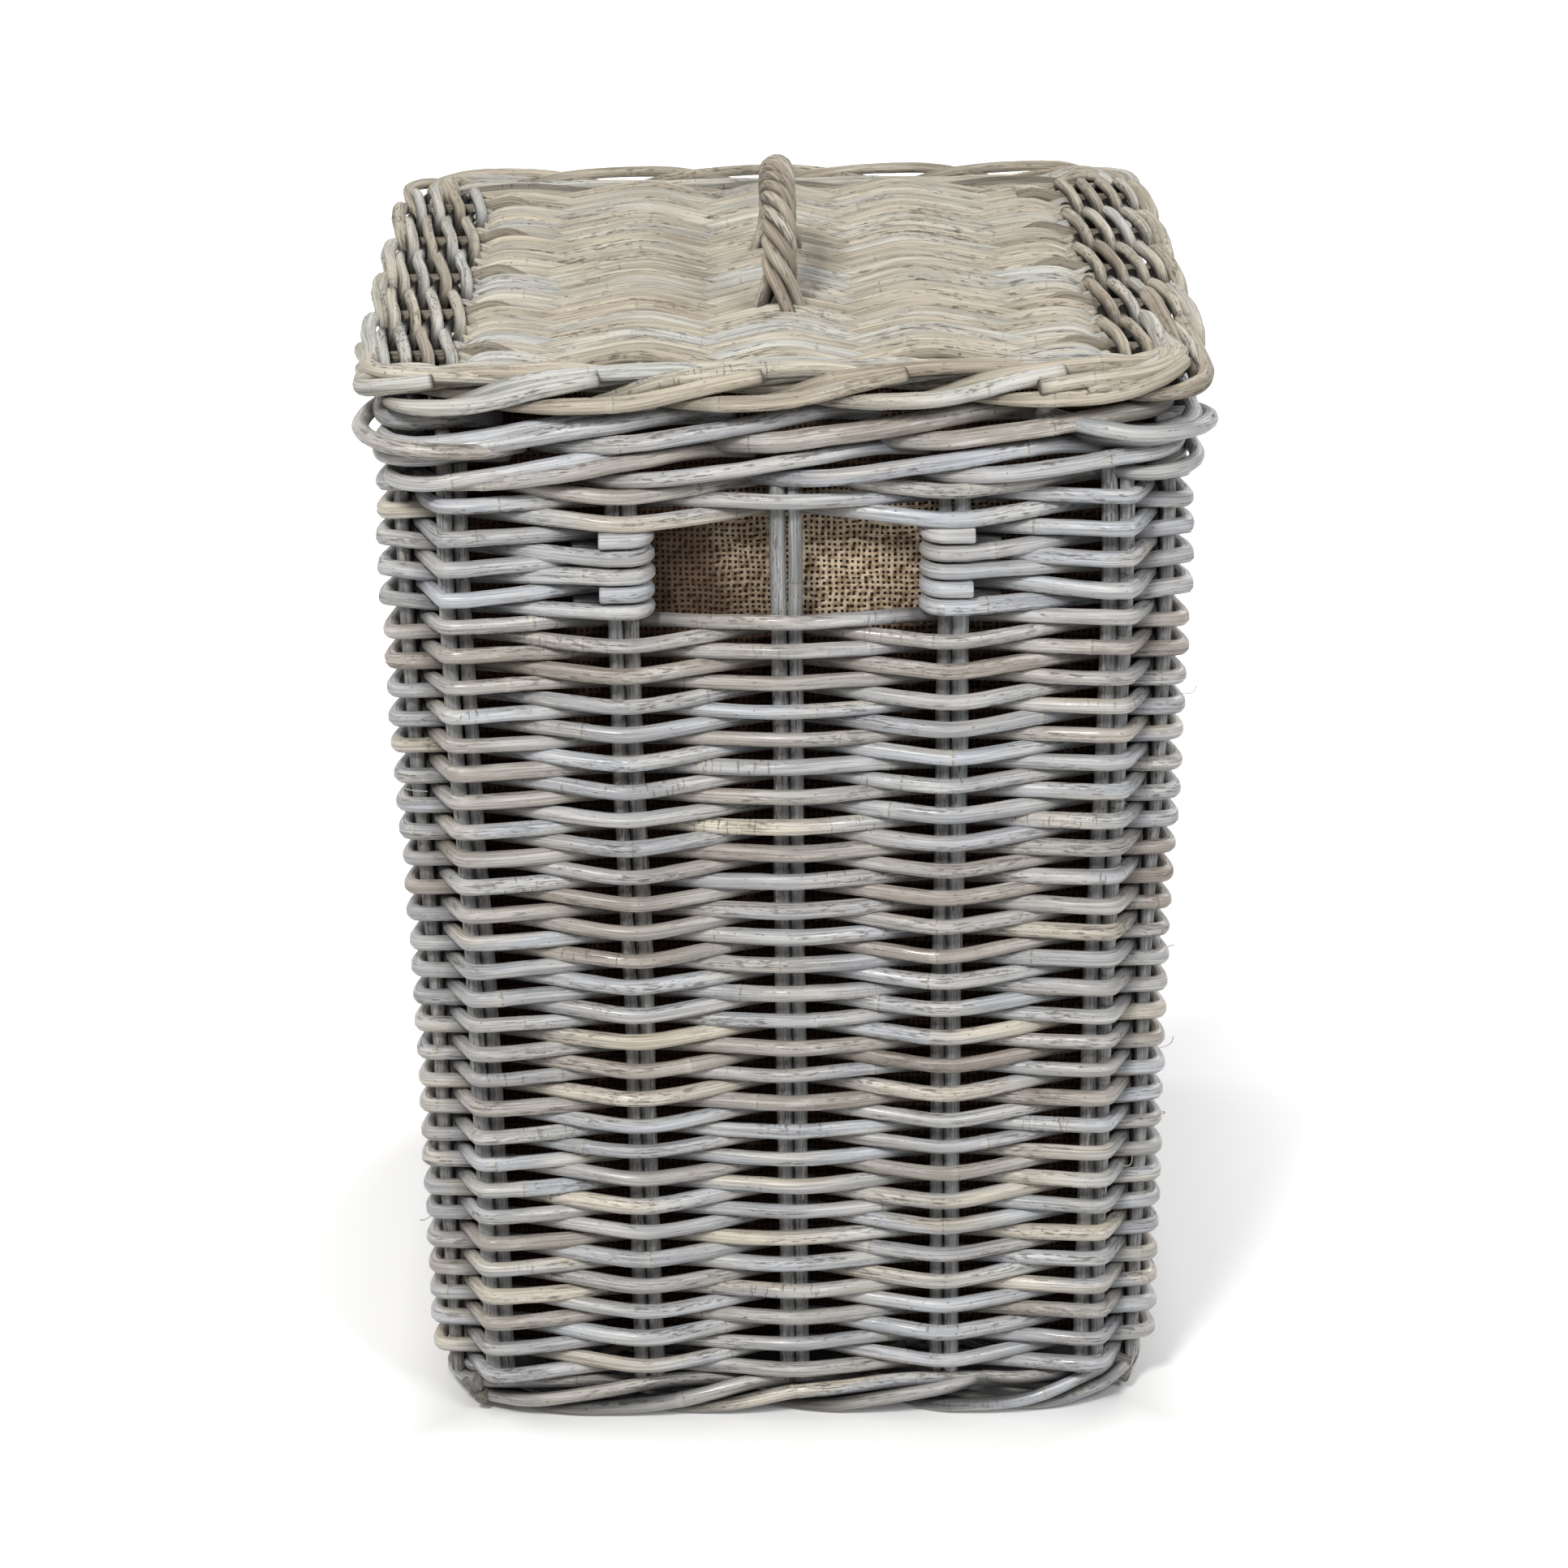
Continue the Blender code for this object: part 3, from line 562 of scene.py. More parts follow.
class Bundle:
    """Rods of one piece: their surfaces and, at every point, the rod's own coordinates, tones and painted
    shade.
    """

    def __init__(self, name, seed):
        self.name = name
        self.rng = np.random.default_rng(seed)
        self.points, self.grain, self.tone, self.knuckle = [], [], [], []
        self.quads, self.caps = [], []
        self.count = 0

    def stations(self, line, along, radius, ends, knuckles):
        """Where rings go: evenly on straight runs, closer in bends, and at each knuckle and end."""
        heading = np.diff(line, axis=0)
        heading /= np.linalg.norm(heading, axis=1)[:, None]
        bend = np.arccos(np.clip((heading[1:] * heading[:-1]).sum(1), -1.0, 1.0))
        effort = along / ROD_STEP + np.concatenate(([0.0], np.cumsum(bend), [bend.sum()])) / ROD_TURN
        even = np.interp(np.linspace(0.0, effort[-1], int(effort[-1]) + 2), effort, along)
        tips = np.concatenate((np.array(ends[0][0]) * radius, along[-1] - np.array(ends[1][0]) * radius))
        marked = (knuckles[:, None] + KNUCKLE_STATIONS).ravel()
        places = np.sort(np.concatenate((even, tips, marked)))
        places = places[(places >= 0.0) & (places <= along[-1])]
        return places[np.concatenate(([True], np.diff(places) > CLOSEST_RINGS))]

    def rod(self, line, radius, up=(0.0, 0.0, 1.0), ends=(ROUND, ROUND), sides=ROD_SIDES, tone=None,
            lumps=1.0, shade=1.0, core=None):
        """Carries a nearly round profile along a line. Its rings stand across the line, with their
        first point nearest to `up`; the radius swells at knuckles and closes at both ends. `shade`, one
        value or one for each point of the line, is painted shade where the rod is hidden from the light;
        with `core`, the axis of the rope that it belongs to, the side facing that axis gets painted shade
        too."""
        rng = self.rng
        along = lengths_along(line)
        total = along[-1]
        gaps = rng.uniform(*KNUCKLE_GAPS, int(total / KNUCKLE_GAPS[0]) + 2)
        knuckles = np.cumsum(gaps) - gaps[0] * rng.uniform(0.1, 0.9)
        knuckles = knuckles[knuckles < total - 3.0 * radius]
        places = self.stations(line, along, radius, ends, knuckles)
        centre = np.column_stack([np.interp(places, along, line[:, k]) for k in range(3)])
        ahead = np.gradient(centre, places, axis=0)
        ahead /= np.linalg.norm(ahead, axis=1)[:, None]
        upward = np.asarray(up, float) - (ahead @ np.asarray(up, float))[:, None] * ahead
        upward /= np.linalg.norm(upward, axis=1)[:, None]
        aside = np.cross(ahead, upward)

        off = np.full(len(places), KNUCKLE_REACH * MM)
        if len(knuckles):
            off = places - knuckles[np.abs(places[:, None] - knuckles).argmin(axis=1)]
        uneven = sum(share * wander(places, length, rng) for share, length in UNEVEN)
        swell = KNUCKLE_SWELL[0] * np.exp(-(off / KNUCKLE_SWELL[1]) ** 2)
        nick = KNUCKLE_NICK[0] * np.exp(-(off / KNUCKLE_NICK[1]) ** 2)
        closing = np.interp(places / radius, *ends[0]) * np.interp((total - places) / radius, *ends[1])
        angle = np.arange(sides) * 2.0 * math.pi / sides
        broad = angle - rng.uniform(0, math.pi) - places[:, None] * rng.uniform(-OVAL_TWIST, OVAL_TWIST)
        width = radius * ((1.0 + lumps * (uneven + swell - nick)) * closing)[:, None]
        reach = width * (1.0 + OVAL * np.cos(2.0 * broad))
        across = np.cos(angle)[:, None] * upward[:, None] + np.sin(angle)[:, None] * aside[:, None]
        rings = centre[:, None] + reach[..., None] * across

        shift = rng.uniform(-3.0, 3.0, 3)
        own_x, own_y = radius * np.cos(angle) + shift[0], radius * np.sin(angle) + shift[1]
        unrolled = np.stack(np.broadcast_arrays(own_x, own_y, places[:, None] + shift[2]), axis=-1)
        own = rng.uniform(0.0, 1.0, 3) if tone is None else np.asarray(tone, float)
        # painted shade along the rod, times the crease's painted shade across it where it has a core
        lit = np.interp(places, along, np.broadcast_to(shade, along.shape))[:, None]
        lit = lit * self.painted_crease_shade(core, centre, across)
        tones = np.concatenate((np.broadcast_to(own, rings.shape), lit[..., None]), axis=2)
        off = np.clip(off / MM, -KNUCKLE_REACH, KNUCKLE_REACH)
        self.keep(rings, unrolled, tones, off)

    def keep(self, rings, unrolled, tones, off):
        """Adds a rod's rings of points, joined by quads and closed by a cap at both ends."""
        steps, sides = rings.shape[:2]
        self.points.append(rings.reshape(-1, 3))
        self.grain.append(unrolled.reshape(-1, 3))
        self.tone.append(tones.reshape(-1, 4))
        self.knuckle.append(np.repeat(off, sides))
        ring, point = np.meshgrid(np.arange(steps - 1), np.arange(sides), indexing="ij")
        here, follow = ring * sides, (point + 1) % sides
        above = here + sides
        corners = np.stack((here + point, here + follow, above + follow, above + point), axis=-1)
        self.quads.append(corners.reshape(-1, 4) + self.count)
        self.caps.append(self.count + np.arange(sides)[::-1])
        self.caps.append(self.count + (steps - 1) * sides + np.arange(sides))
        self.count += steps * sides

    @staticmethod
    def painted_crease_shade(core, centre, across):
        """Painted crease shade: 1 where a rod's skin faces away from the rope's core, falling to nearly
        dark where it faces the core; 1 all over for a rod that has none."""
        if core is None:
            return np.ones(across.shape[:2])
        away = centre - core[np.linalg.norm(centre[:, None] - core, axis=2).argmin(axis=1)]
        away /= np.linalg.norm(away, axis=1)[:, None] + 1e-9
        return 0.14 + 0.86 * smooth(((across * away[:, None]).sum(axis=2) + 0.35) / 1.15)

    def piece(self, material, body, slot, *nodes):
        """Makes the mesh, with what its material reads at each point, and hangs it on the frame."""
        mesh = bpy.data.meshes.new(self.name)
        faces = np.concatenate(self.quads).tolist() + [cap.tolist() for cap in self.caps]
        mesh.from_pydata(np.concatenate(self.points).tolist(), [], faces)
        for name, kind, key, parts in (
            ("grain", "FLOAT_VECTOR", "vector", self.grain),
            ("tone", "FLOAT_COLOR", "color", self.tone),
            ("knuckle", "FLOAT", "value", self.knuckle),
        ):
            layer = mesh.attributes.new(name, kind, "POINT")
            layer.data.foreach_set(key, np.concatenate(parts).astype(np.float32).ravel())
        mesh.shade_smooth()
        return install(mesh, material, body, slot, *nodes)


def install(mesh, material, body, slot, *nodes):
    """Links a mesh as a piece that rides on a body and stands for these frame nodes."""
    mesh.materials.append(material)
    piece = bpy.data.objects.new(mesh.name, mesh)
    bpy.context.scene.collection.objects.link(piece)
    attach(piece, body)
    if nodes:
        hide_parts(*nodes)
    return piece


# ---------------------------------------------------------------- the wall

border_low, border_high = span("border_upper_wale")
BORDER_REACH = 17.0 * MM
WALL = RoundedLine(border_high[0] - BORDER_REACH, border_high[1] - BORDER_REACH, 20.5 * MM)
WALL_TOP = border_high[2]
# the wall's outline: shares of its height, and of its size at the rim; it bellies above the middle
LEAN_AT = (0.0, 0.25, 0.47, 0.68, 0.90, 1.0)
LEAN = (0.966, 0.9745, 0.9835, 1.007, 1.015, 1.004)
# the outer pairs stand this far in from the corner that the straight sides would meet at
CORNER_STAKE = 26.5 * MM
FRONT_PAIRS, SIDE_PAIRS = 5, 6
# a row runs level past a pair for this far on both sides of it, and this far out of or inside it
PAIR_FLAT = 5.5 * MM
SWING = 9.6 * MM
ROW_COUNT = 55
ROW_PITCH = 7.985 * MM
TOP_ROW = span("weave_rows_10")[1][2] - 1.7 * MM
# radii of the rods in a row and of those that wrap the hand hole's stakes
WEAVER = (3.85 * MM, 4.5 * MM)
WRAPPER = (4.15 * MM, 4.6 * MM)
# how far the tighter bends reach from the middle of a corner
CORNER_REACH = 34 * MM
# points over which a rod's bends are eased, round the corners and on the straight sides
EASE_CORNER, EASE_STRAIGHT = 15, 37
# half the gap between two rods of a row that meet behind a pair
JOIN_GAP = 1.5 * MM
# how far a row sags where it passes outside a pair, for the two kinds of row: both are lowest at
# the pairs of odd number
DIPS = (-1.5 * MM, 2.2 * MM)


def lean(z):
    """The wall's size at this height, as a share of its size at the rim."""
    return through(np.asarray(z) / WALL_TOP, LEAN_AT, LEAN)


def pair_places():
    """Lengths along the wall of the stake pairs, from the front's left one, anticlockwise."""
    front = np.linspace(-1.0, 1.0, FRONT_PAIRS) * (WALL.straight_x + WALL.radius - CORNER_STAKE)
    side = np.linspace(-1.0, 1.0, SIDE_PAIRS) * (WALL.straight_y + WALL.radius - CORNER_STAKE)
    marks = WALL.marks
    return np.concatenate((
        front,
        marks[2] + WALL.straight_y + side,
        marks[4] + WALL.straight_x + front,
        marks[6] + WALL.straight_y + side,
    ))


PAIRS = pair_places()
PAIR_COUNT = len(PAIRS)


def leaning(x, y, z, scale=1.0):
    """Points of an upright plan, drawn in or out as the wall leans at their height."""
    share = lean(z) * scale
    return np.stack(np.broadcast_arrays(x * share, y * share, z), axis=-1)


def wall_point(along, outward, z):
    """Points by length along the wall, distance outside it and height, as the wall leans."""
    return leaning(*WALL.at(along, outward), z)


ONCE_ROUND = np.array((0.0, 0.0, WALL.length, 0.0))


def taut(along, outward):
    """Plan of a rod drawn taut past these places and back to the first, one point a millimetre, with
    its bends eased: gently on the straight sides and more tightly round the corners. The third column
    is the length along and the fourth how far outside the rod passes, from -1 to 1."""
    x, y = WALL.at(along, outward)
    line = np.column_stack((x, y, along, outward / SWING))
    line = np.concatenate((line, line[:1] + ONCE_ROUND))
    gaps = np.linalg.norm(np.diff(line[:, :2], axis=0), axis=1)
    length = np.concatenate(([0.0], np.cumsum(gaps)))
    places = np.arange(0.0, length[-1], MM)
    dense = np.column_stack([np.interp(places, length, line[:, k]) for k in range(4)])
    near = WALL.corner_share(dense[:, 2], CORNER_REACH)[:, None]
    plan = eased(dense[:, :2], EASE_CORNER) * near + eased(dense[:, :2], EASE_STRAIGHT) * (1.0 - near)
    return np.column_stack((plan, dense[:, 2], eased(dense[:, 3:], EASE_STRAIGHT)))


def open_shade(side):
    """Painted shade where a rod passes inside its stakes: from 1 outside to a third well inside."""
    return 1.0 - 0.66 * smooth((0.15 - side) / 0.85)


def tucked(t, first, last, dark=0.4):
    """Painted shade: darkens a strand over the first and last shares of its run, where it is tucked in."""
    rise = np.clip(t / max(first, 1e-6), 0.0, 1.0) * np.clip((1.0 - t) / max(last, 1e-6), 0.0, 1.0)
    return dark + (1.0 - dark) * rise


def row_plan(phase):
    """A whole row: outside every pair whose number and phase add up to an even number."""
    side = np.where((np.arange(PAIR_COUNT) + phase) % 2 == 0, 1.0, -1.0)
    along = np.repeat(PAIRS, 2) + np.tile((-PAIR_FLAT, PAIR_FLAT), PAIR_COUNT)
    return taut(along, np.repeat(side, 2) * SWING)


ROW_PLANS = (row_plan(0), row_plan(1))


def lay_row(bundle, z, phase):
    """One row, in two or three rods that meet where they are hidden behind a stake pair."""
    rng = bundle.rng
    plan = ROW_PLANS[phase]
    hidden = np.flatnonzero((np.arange(PAIR_COUNT) + phase) % 2 == 1)
    first = int(rng.integers(len(hidden)))
    cuts = (0, 4, 8) if rng.uniform() < 0.45 else (0, 6)
    starts = [hidden[(first + cut) % len(hidden)] for cut in cuts]
    offset = rng.uniform(-0.5, 0.5) * MM
    doubled = np.concatenate((plan, plan + ONCE_ROUND))
    for place, stop in zip(starts, starts[1:] + starts[:1]):
        begin = PAIRS[place]
        end = PAIRS[stop] + (WALL.length if stop <= place else 0.0)
        part = doubled[(doubled[:, 2] > begin + JOIN_GAP) & (doubled[:, 2] < end - JOIN_GAP)]
        x, y, along, side = part.T
        height = z + offset + 0.75 * MM * wander(along, 210 * MM, rng) - DIPS[phase] * side
        line = leaning(x, y, height, 1.0 + 0.0012 * wander(along, 120 * MM, rng))
        # painted shade where the rod passes inside its stakes
        bundle.rod(line, rng.uniform(*WEAVER), ends=(CUT, CUT), shade=open_shade(side))


# heights in millimetres of the three rows above the hand holes, each with its phase
TOP_ROWS = ((515.8, 1), (523.2, 0), (530.6, 1))


def make_rows(material):
    """The rows below the hand holes, in the frame's ten bands, and the three above them."""
    rows = np.arange(ROW_COUNT)
    heights = TOP_ROW - rows * ROW_PITCH
    for band in range(1, 11):
        node = f"weave_rows_{band:02d}"
        low, high = span(node)
        bundle = Bundle(f"woven_{node[-7:]}", 100 + band)
        lowest = 0.0 if band == 1 else low[2] - 0.2 * MM
        for row in rows[(heights > lowest) & (heights <= high[2] + 0.1 * MM)]:
            lay_row(bundle, heights[row] + bundle.rng.uniform(-0.35, 0.35) * MM, int(row) % 2)
        bundle.piece(material, "basket", "row_rattan", node)
    bundle = Bundle("woven_rows_top", 120)
    for height, phase in TOP_ROWS:
        lay_row(bundle, height * MM, phase)
    bundle.piece(material, "basket", "row_rattan", "weave_rows_top")


# heights of the six short rows at the wall's corners and where they wrap the hand hole's stakes
SHORT_ROWS = np.array((467.1, 475.2, 483.4, 491.5, 499.6, 507.7)) * MM
WRAP_ROWS = np.array((467.6, 477.0, 486.4, 491.5, 496.2, 505.6)) * MM
SHORT_PHASES = (1, 0, 1, 0, 1, 0)
# the short row that stops behind the others' wraps and has none of its own
HIDDEN_ROW = 3
# how far past a pair's middle a wrap's half circle starts, and the lengths of its tail where the end
# shows and where it is hidden
WRAP_EDGE = 3.2 * MM
LONG_TAIL = 26 * MM
SHORT_TAIL = (9 * MM, 12 * MM)
EASE_WRAP, EASE_SHORT_ROW = 9, 33


def wrapped_end(place, side, tail, away):
    """The end of a rod that turns round a stake pair: a tail on the far face, then a half circle."""
    angle = np.linspace(0.0, math.pi, 13)
    along = place - away * (WRAP_EDGE + SWING * np.sin(angle))
    outward = -side * SWING * np.cos(angle)
    return np.concatenate(([place + away * tail], along)), np.concatenate(([-side * SWING], outward))


def lay_short_row(bundle, index, first, last):
    """One short row, from the hand hole's edge round the sides to the other hand hole: woven as the
    whole rows are, turned back round the stakes at both ends unless it is the hidden one, and
    crowded together with its neighbours towards the holes."""
    rng = bundle.rng
    numbers = np.arange(first, last + 1)
    places = PAIRS[numbers % PAIR_COUNT] + WALL.length * (numbers // PAIR_COUNT)
    side = np.where((numbers + SHORT_PHASES[index]) % 2 == 0, 1.0, -1.0)
    along = np.repeat(places, 2)[1:-1] + np.tile((PAIR_FLAT, -PAIR_FLAT), len(places) - 1)
    outward = np.repeat(side * SWING, 2)[1:-1]
    if index != HIDDEN_ROW:
        tails = np.where(side[[0, -1]] > 0, LONG_TAIL, rng.uniform(*SHORT_TAIL))
        head = wrapped_end(places[0], side[0], tails[0], 1.0)
        foot = wrapped_end(places[-1], side[-1], tails[1], -1.0)
        along = np.concatenate((head[0], along, foot[0][::-1]))
        outward = np.concatenate((head[1], outward, foot[1][::-1]))
    x, y = WALL.at(along, outward)
    dense = evenly(np.column_stack((x, y, along, outward / SWING)), MM)
    run = dense[:, 2]
    from_hole = np.minimum(run - places[0], places[-1] - run)
    near_hole = np.clip(1.0 - (from_hole - 12 * MM) / (25 * MM), 0.0, 1.0)
    tight = np.maximum(WALL.corner_share(run, CORNER_REACH), near_hole)[:, None]
    sharp, gentle = (eased(dense[:, :2], width, False) for width in (EASE_WRAP, EASE_SHORT_ROW))
    plan = sharp * tight + gentle * (1.0 - tight)
    free = smooth((from_hole - 8 * MM) / (75 * MM))
    height = WRAP_ROWS[index] * (1.0 - free) + SHORT_ROWS[index] * free
    height = height + 0.5 * MM * wander(run, 180 * MM, rng) * free
    radius = rng.uniform(*WRAPPER)
    own = (rng.uniform(0.42, 0.80), *rng.uniform(0, 0.7, 2))
    line = leaning(plan[:, 0], plan[:, 1], height)
    # painted shade where the rod passes inside its stakes
    bundle.rod(line, radius, ends=(CUT, CUT), tone=own, shade=open_shade(dense[:, 3]))


def make_hand_holes(material):
    """Short rows either side of the two hand holes, wrapped round the stakes at the holes' edges."""
    for name, first, last in (("hand_hole_rows_right", 3, 12), ("hand_hole_rows_left", 14, 23)):
        bundle = Bundle(f"wrapped_{name[5:]}", 140 + first)
        for index in range(len(SHORT_ROWS)):
            lay_short_row(bundle, index, first, last)
        bundle.piece(material, "basket", "row_rattan", name)


STAKE_RADII = (4.25 * MM, 3.75 * MM)
STAKE_TOP = 545 * MM
STAKE_FOOT = (16.5 * MM, 21.0 * MM)


def make_stakes(material):
    """Each pair is two rods side by side, a little unlike, cut off below the lowest row."""
    names = [f"front_{k}" for k in range(1, 6)] + [f"right_{k}" for k in range(1, 7)]
    names += [f"back_{k}" for k in range(1, 6)] + [f"left_{k}" for k in range(1, 7)]
    for number, (name, place) in enumerate(zip(names, PAIRS)):
        bundle = Bundle(f"stakes_{name}", 200 + number)
        rng = bundle.rng
        thick = STAKE_RADII if rng.uniform() < 0.7 else STAKE_RADII[::-1]
        for side, radius in zip((-1.0, 1.0), thick):
            z = np.linspace(rng.uniform(*STAKE_FOOT), STAKE_TOP, 160)
            drift = 0.5 * MM * wander(z, 260 * MM, rng)
            along = place + side * radius * 1.03 + drift
            line = wall_point(along, 0.4 * MM * wander(z, 200 * MM, rng), z)
            outward = np.subtract(WALL.at(place, 1.0), WALL.at(place, 0.0))
            # painted shade, uneven along the height, on the stakes that stand behind the rows
            bundle.rod(line, radius, up=(*outward, 0.0), ends=(CUT, CUT), sides=9,
                       shade=0.82 + 0.16 * wander(z, 60 * MM, rng))
        bundle.piece(material, "basket", "stake_rattan", f"stake_pair_{name}")


# ---------------------------------------------------------------- borders and foot

# share of a strand's run: distance outside the stake line, and rise, in millimetres
BORDER_RUN = (0.00, 0.09, 0.22, 0.42, 0.66, 0.86, 1.00)
BORDER_OUT = (-9.0, 1.5, 9.8, 11.6, 9.0, 1.0, -7.0)
BORDER_RISE = (-8.6, -8.2, -6.6, -2.4, 3.4, 6.2, 3.5)
# how many pairs' gaps a strand spans, how far it bows out at a corner and how far from its middle
BORDER_SPAN = 2.45
BORDER_BOW, BOW_REACH = 5.0 * MM, 26 * MM
LOWER_STRAND, UPPER_STRAND = 4.35 * MM, 4.95 * MM
# a long end's run past a corner, in millimetres: share of it, place along, distance outside and rise
LOOP_RUN, LOOP_ALONG = (0, 0.5, 1), (-62, 2, 58)
LOOP_OUT_RUN, LOOP_OUT = (0, 0.16, 0.5, 0.84, 1), (-4, 12, 21.5, 12, -5)
LOOP_RISE = (3.5, -3.5, -9.5)
LOOP_RADIUS = 4.3 * MM


def lay_border(bundle, middle, radius, shift):
    """Waling: a strand starts this share of a gap before each pair, comes out, passes in front of two
    pairs while it climbs over the start of the next strands, and is tucked in again; it bows out
    round corners."""
    rng = bundle.rng
    starts = np.concatenate((PAIRS, PAIRS[:1] + WALL.length))
    for number in range(PAIR_COUNT):
        gap = starts[number + 1] - starts[number]
        begin = starts[number] - shift * gap
        length = (BORDER_SPAN + rng.uniform(-0.15, 0.2)) * WALL.length / PAIR_COUNT
        t = np.linspace(0.0, 1.0, 190)
        along = begin + t * length
        outward = through(t, BORDER_RUN, BORDER_OUT) * MM
        bow = WALL.corner_share(along, BOW_REACH) * rng.uniform(0.0, BORDER_BOW)
        outward = outward + bow * np.clip(outward / (10 * MM), 0.0, 1.0)
        z = middle + through(t, BORDER_RUN, BORDER_RISE) * MM
        z = z + 0.6 * MM * wander(along, 150 * MM, rng)
        own = (rng.uniform(0.08, 0.80), *rng.uniform(0, 0.9, 2))
        size = radius * rng.uniform(0.88, 1.06)
        # painted shade where the strand is tucked in at its ends
        bundle.rod(wall_point(along, outward, z), size, ends=(ROUND, ROUND), sides=12, tone=own,
                   shade=tucked(t, 0.22, 0.27, 0.12))


def lay_corner_loops(bundle, middle):
    """A long end that swings out round each corner, and the cut stake end beside it."""
    rng = bundle.rng
    for corner in WALL.corners:
        t = np.linspace(0.0, 1.0, 120)
        along = corner + through(t, LOOP_RUN, LOOP_ALONG) * MM
        outward = through(t, LOOP_OUT_RUN, LOOP_OUT) * MM
        z = middle + through(t, LOOP_RUN, LOOP_RISE) * MM
        bundle.rod(wall_point(along, outward, z), LOOP_RADIUS, ends=(ROUND, ROUND), sides=12)
        tip = corner + rng.uniform(15, 18) * MM
        stub = wall_point(np.full(2, tip), np.array((-6.0, 14.5)) * MM, middle - 4 * MM)
        bundle.rod(evenly(stub, MM), LOOP_RADIUS, ends=(CUT, CUT), sides=12)


def make_borders(material):
    """Two rounds of waling, the upper one thicker and with the long ends at its corners."""
    lower_low, lower_high = span("border_lower_wale")
    lower = Bundle("border_lower_strands", 301)
    lay_border(lower, (lower_low[2] + lower_high[2]) / 2 + 1.0 * MM, LOWER_STRAND, 0.30)
    lower.piece(material, "basket", "border_rattan", "border_lower_wale")
    upper = Bundle("border_upper_strands", 302)
    middle = (border_low[2] + border_high[2]) / 2 - 1.5 * MM
    lay_border(upper, middle, UPPER_STRAND, 0.55)
    lay_corner_loops(upper, middle)
    upper.piece(material, "basket", "border_rattan", "border_upper_wale")


# the foot's rope: its strands, the length of a whole turn, how far outside the stakes it runs, how
# far a strand swings about it and how far in it keeps at the corners
FOOT_STRANDS = 4
FOOT_TWIST = 0.265
FOOT_OUT = 1.2 * MM
FOOT_COIL = 5.6 * MM
FOOT_CORNER_IN = 15.0 * MM
FOOT_TUCK, TUCK_LENGTH = 8 * MM, 30 * MM
# how far the rope bulges at the right of the front, where along, and over what length
FOOT_BULGE, BULGE_PLACE, BULGE_LENGTH = 5.0 * MM, 110 * MM, 80 * MM
STUB_TONE = (0.1, 0.1, 0.3)


def make_foot(material):
    """A loose four-strand rope under the lowest row: each strand circles the foot's own line once in
    every twist, and is made of lengths whose ends are tucked inside. Three cut ends of stakes show at
    each corner, dark in tone and darkened further by painted shade."""
    low, high = span("foot_border")
    middle = (low[2] + high[2]) / 2
    bundle = Bundle("foot_strands", 310)
    rng = bundle.rng
    turns = round(WALL.length / FOOT_TWIST)
    coil_rise = (high[2] - low[2] - 8.6 * MM) / 2
    for strand in range(FOOT_STRANDS):
        cuts = np.sort(rng.uniform(0.0, 1.0, 3)) * 0.2 + np.array((0.0, 0.33, 0.66))
        for begin, end in zip(cuts, (*cuts[1:], cuts[0] + 1.0)):
            along = np.linspace(begin, end, 520) * WALL.length
            turn = 2.0 * math.pi * (turns * along / WALL.length + strand / FOOT_STRANDS)
            turn = turn + 0.35 * wander(along, 260 * MM, rng)
            corner = WALL.corner_share(along, 30 * MM)
            bulge = FOOT_BULGE * np.exp(-((along % WALL.length - BULGE_PLACE) / BULGE_LENGTH) ** 2)
            inside = FOOT_OUT + bulge - FOOT_CORNER_IN * corner
            outward = inside + FOOT_COIL * np.cos(turn)
            z = middle + coil_rise * np.sin(turn) * (1.0 - 0.2 * corner) + 2.0 * MM * corner
            fade = np.minimum(along - along[0], along[-1] - along) / TUCK_LENGTH
            outward = outward - FOOT_TUCK * np.clip(1.0 - fade, 0.0, 1.0) ** 2
            # painted shade: each strand is darker where it turns in and down round the rope, and, through
            # the core, where it faces the rope's middle
            shade = 0.80 + 0.30 * np.clip(np.cos(turn - 0.6) * 1.6 + 0.4, -1.0, 1.0)
            own = (rng.choice((rng.uniform(0.14, 0.40), rng.uniform(0.80, 1.0))), *rng.uniform(0, 0.9, 2))
            size = rng.uniform(3.5, 4.3) * MM
            line = wall_point(along, outward, z)
            core = wall_point(along, inside, middle)
            bundle.rod(line, size, ends=(CUT, CUT), tone=own, shade=shade, core=core)
    for corner in WALL.corners:
        for _ in range(3):
            tip = corner + rng.uniform(-16, 16) * MM
            z = rng.uniform(6.5, 15) * MM
            outward = np.array((-17.0, rng.uniform(-3, 0))) * MM
            stub = wall_point(np.array((tip - 9 * MM, tip)), outward, np.array((z + 7 * MM, z)))
            radius = rng.uniform(3.6, 4.2) * MM
            # painted shade halves the brightness of the corner stubs
            bundle.rod(evenly(stub, MM), radius, ends=(CUT, CUT), tone=STUB_TONE, shade=0.5)
    bundle.piece(material, "basket", "border_rattan", "foot_border")


BASE_STICKS = 9
STICK_RADIUS = 3.1 * MM
BASE_ROD_PITCH = 6.8 * MM
BASE_ROD_SWING = 5.4 * MM


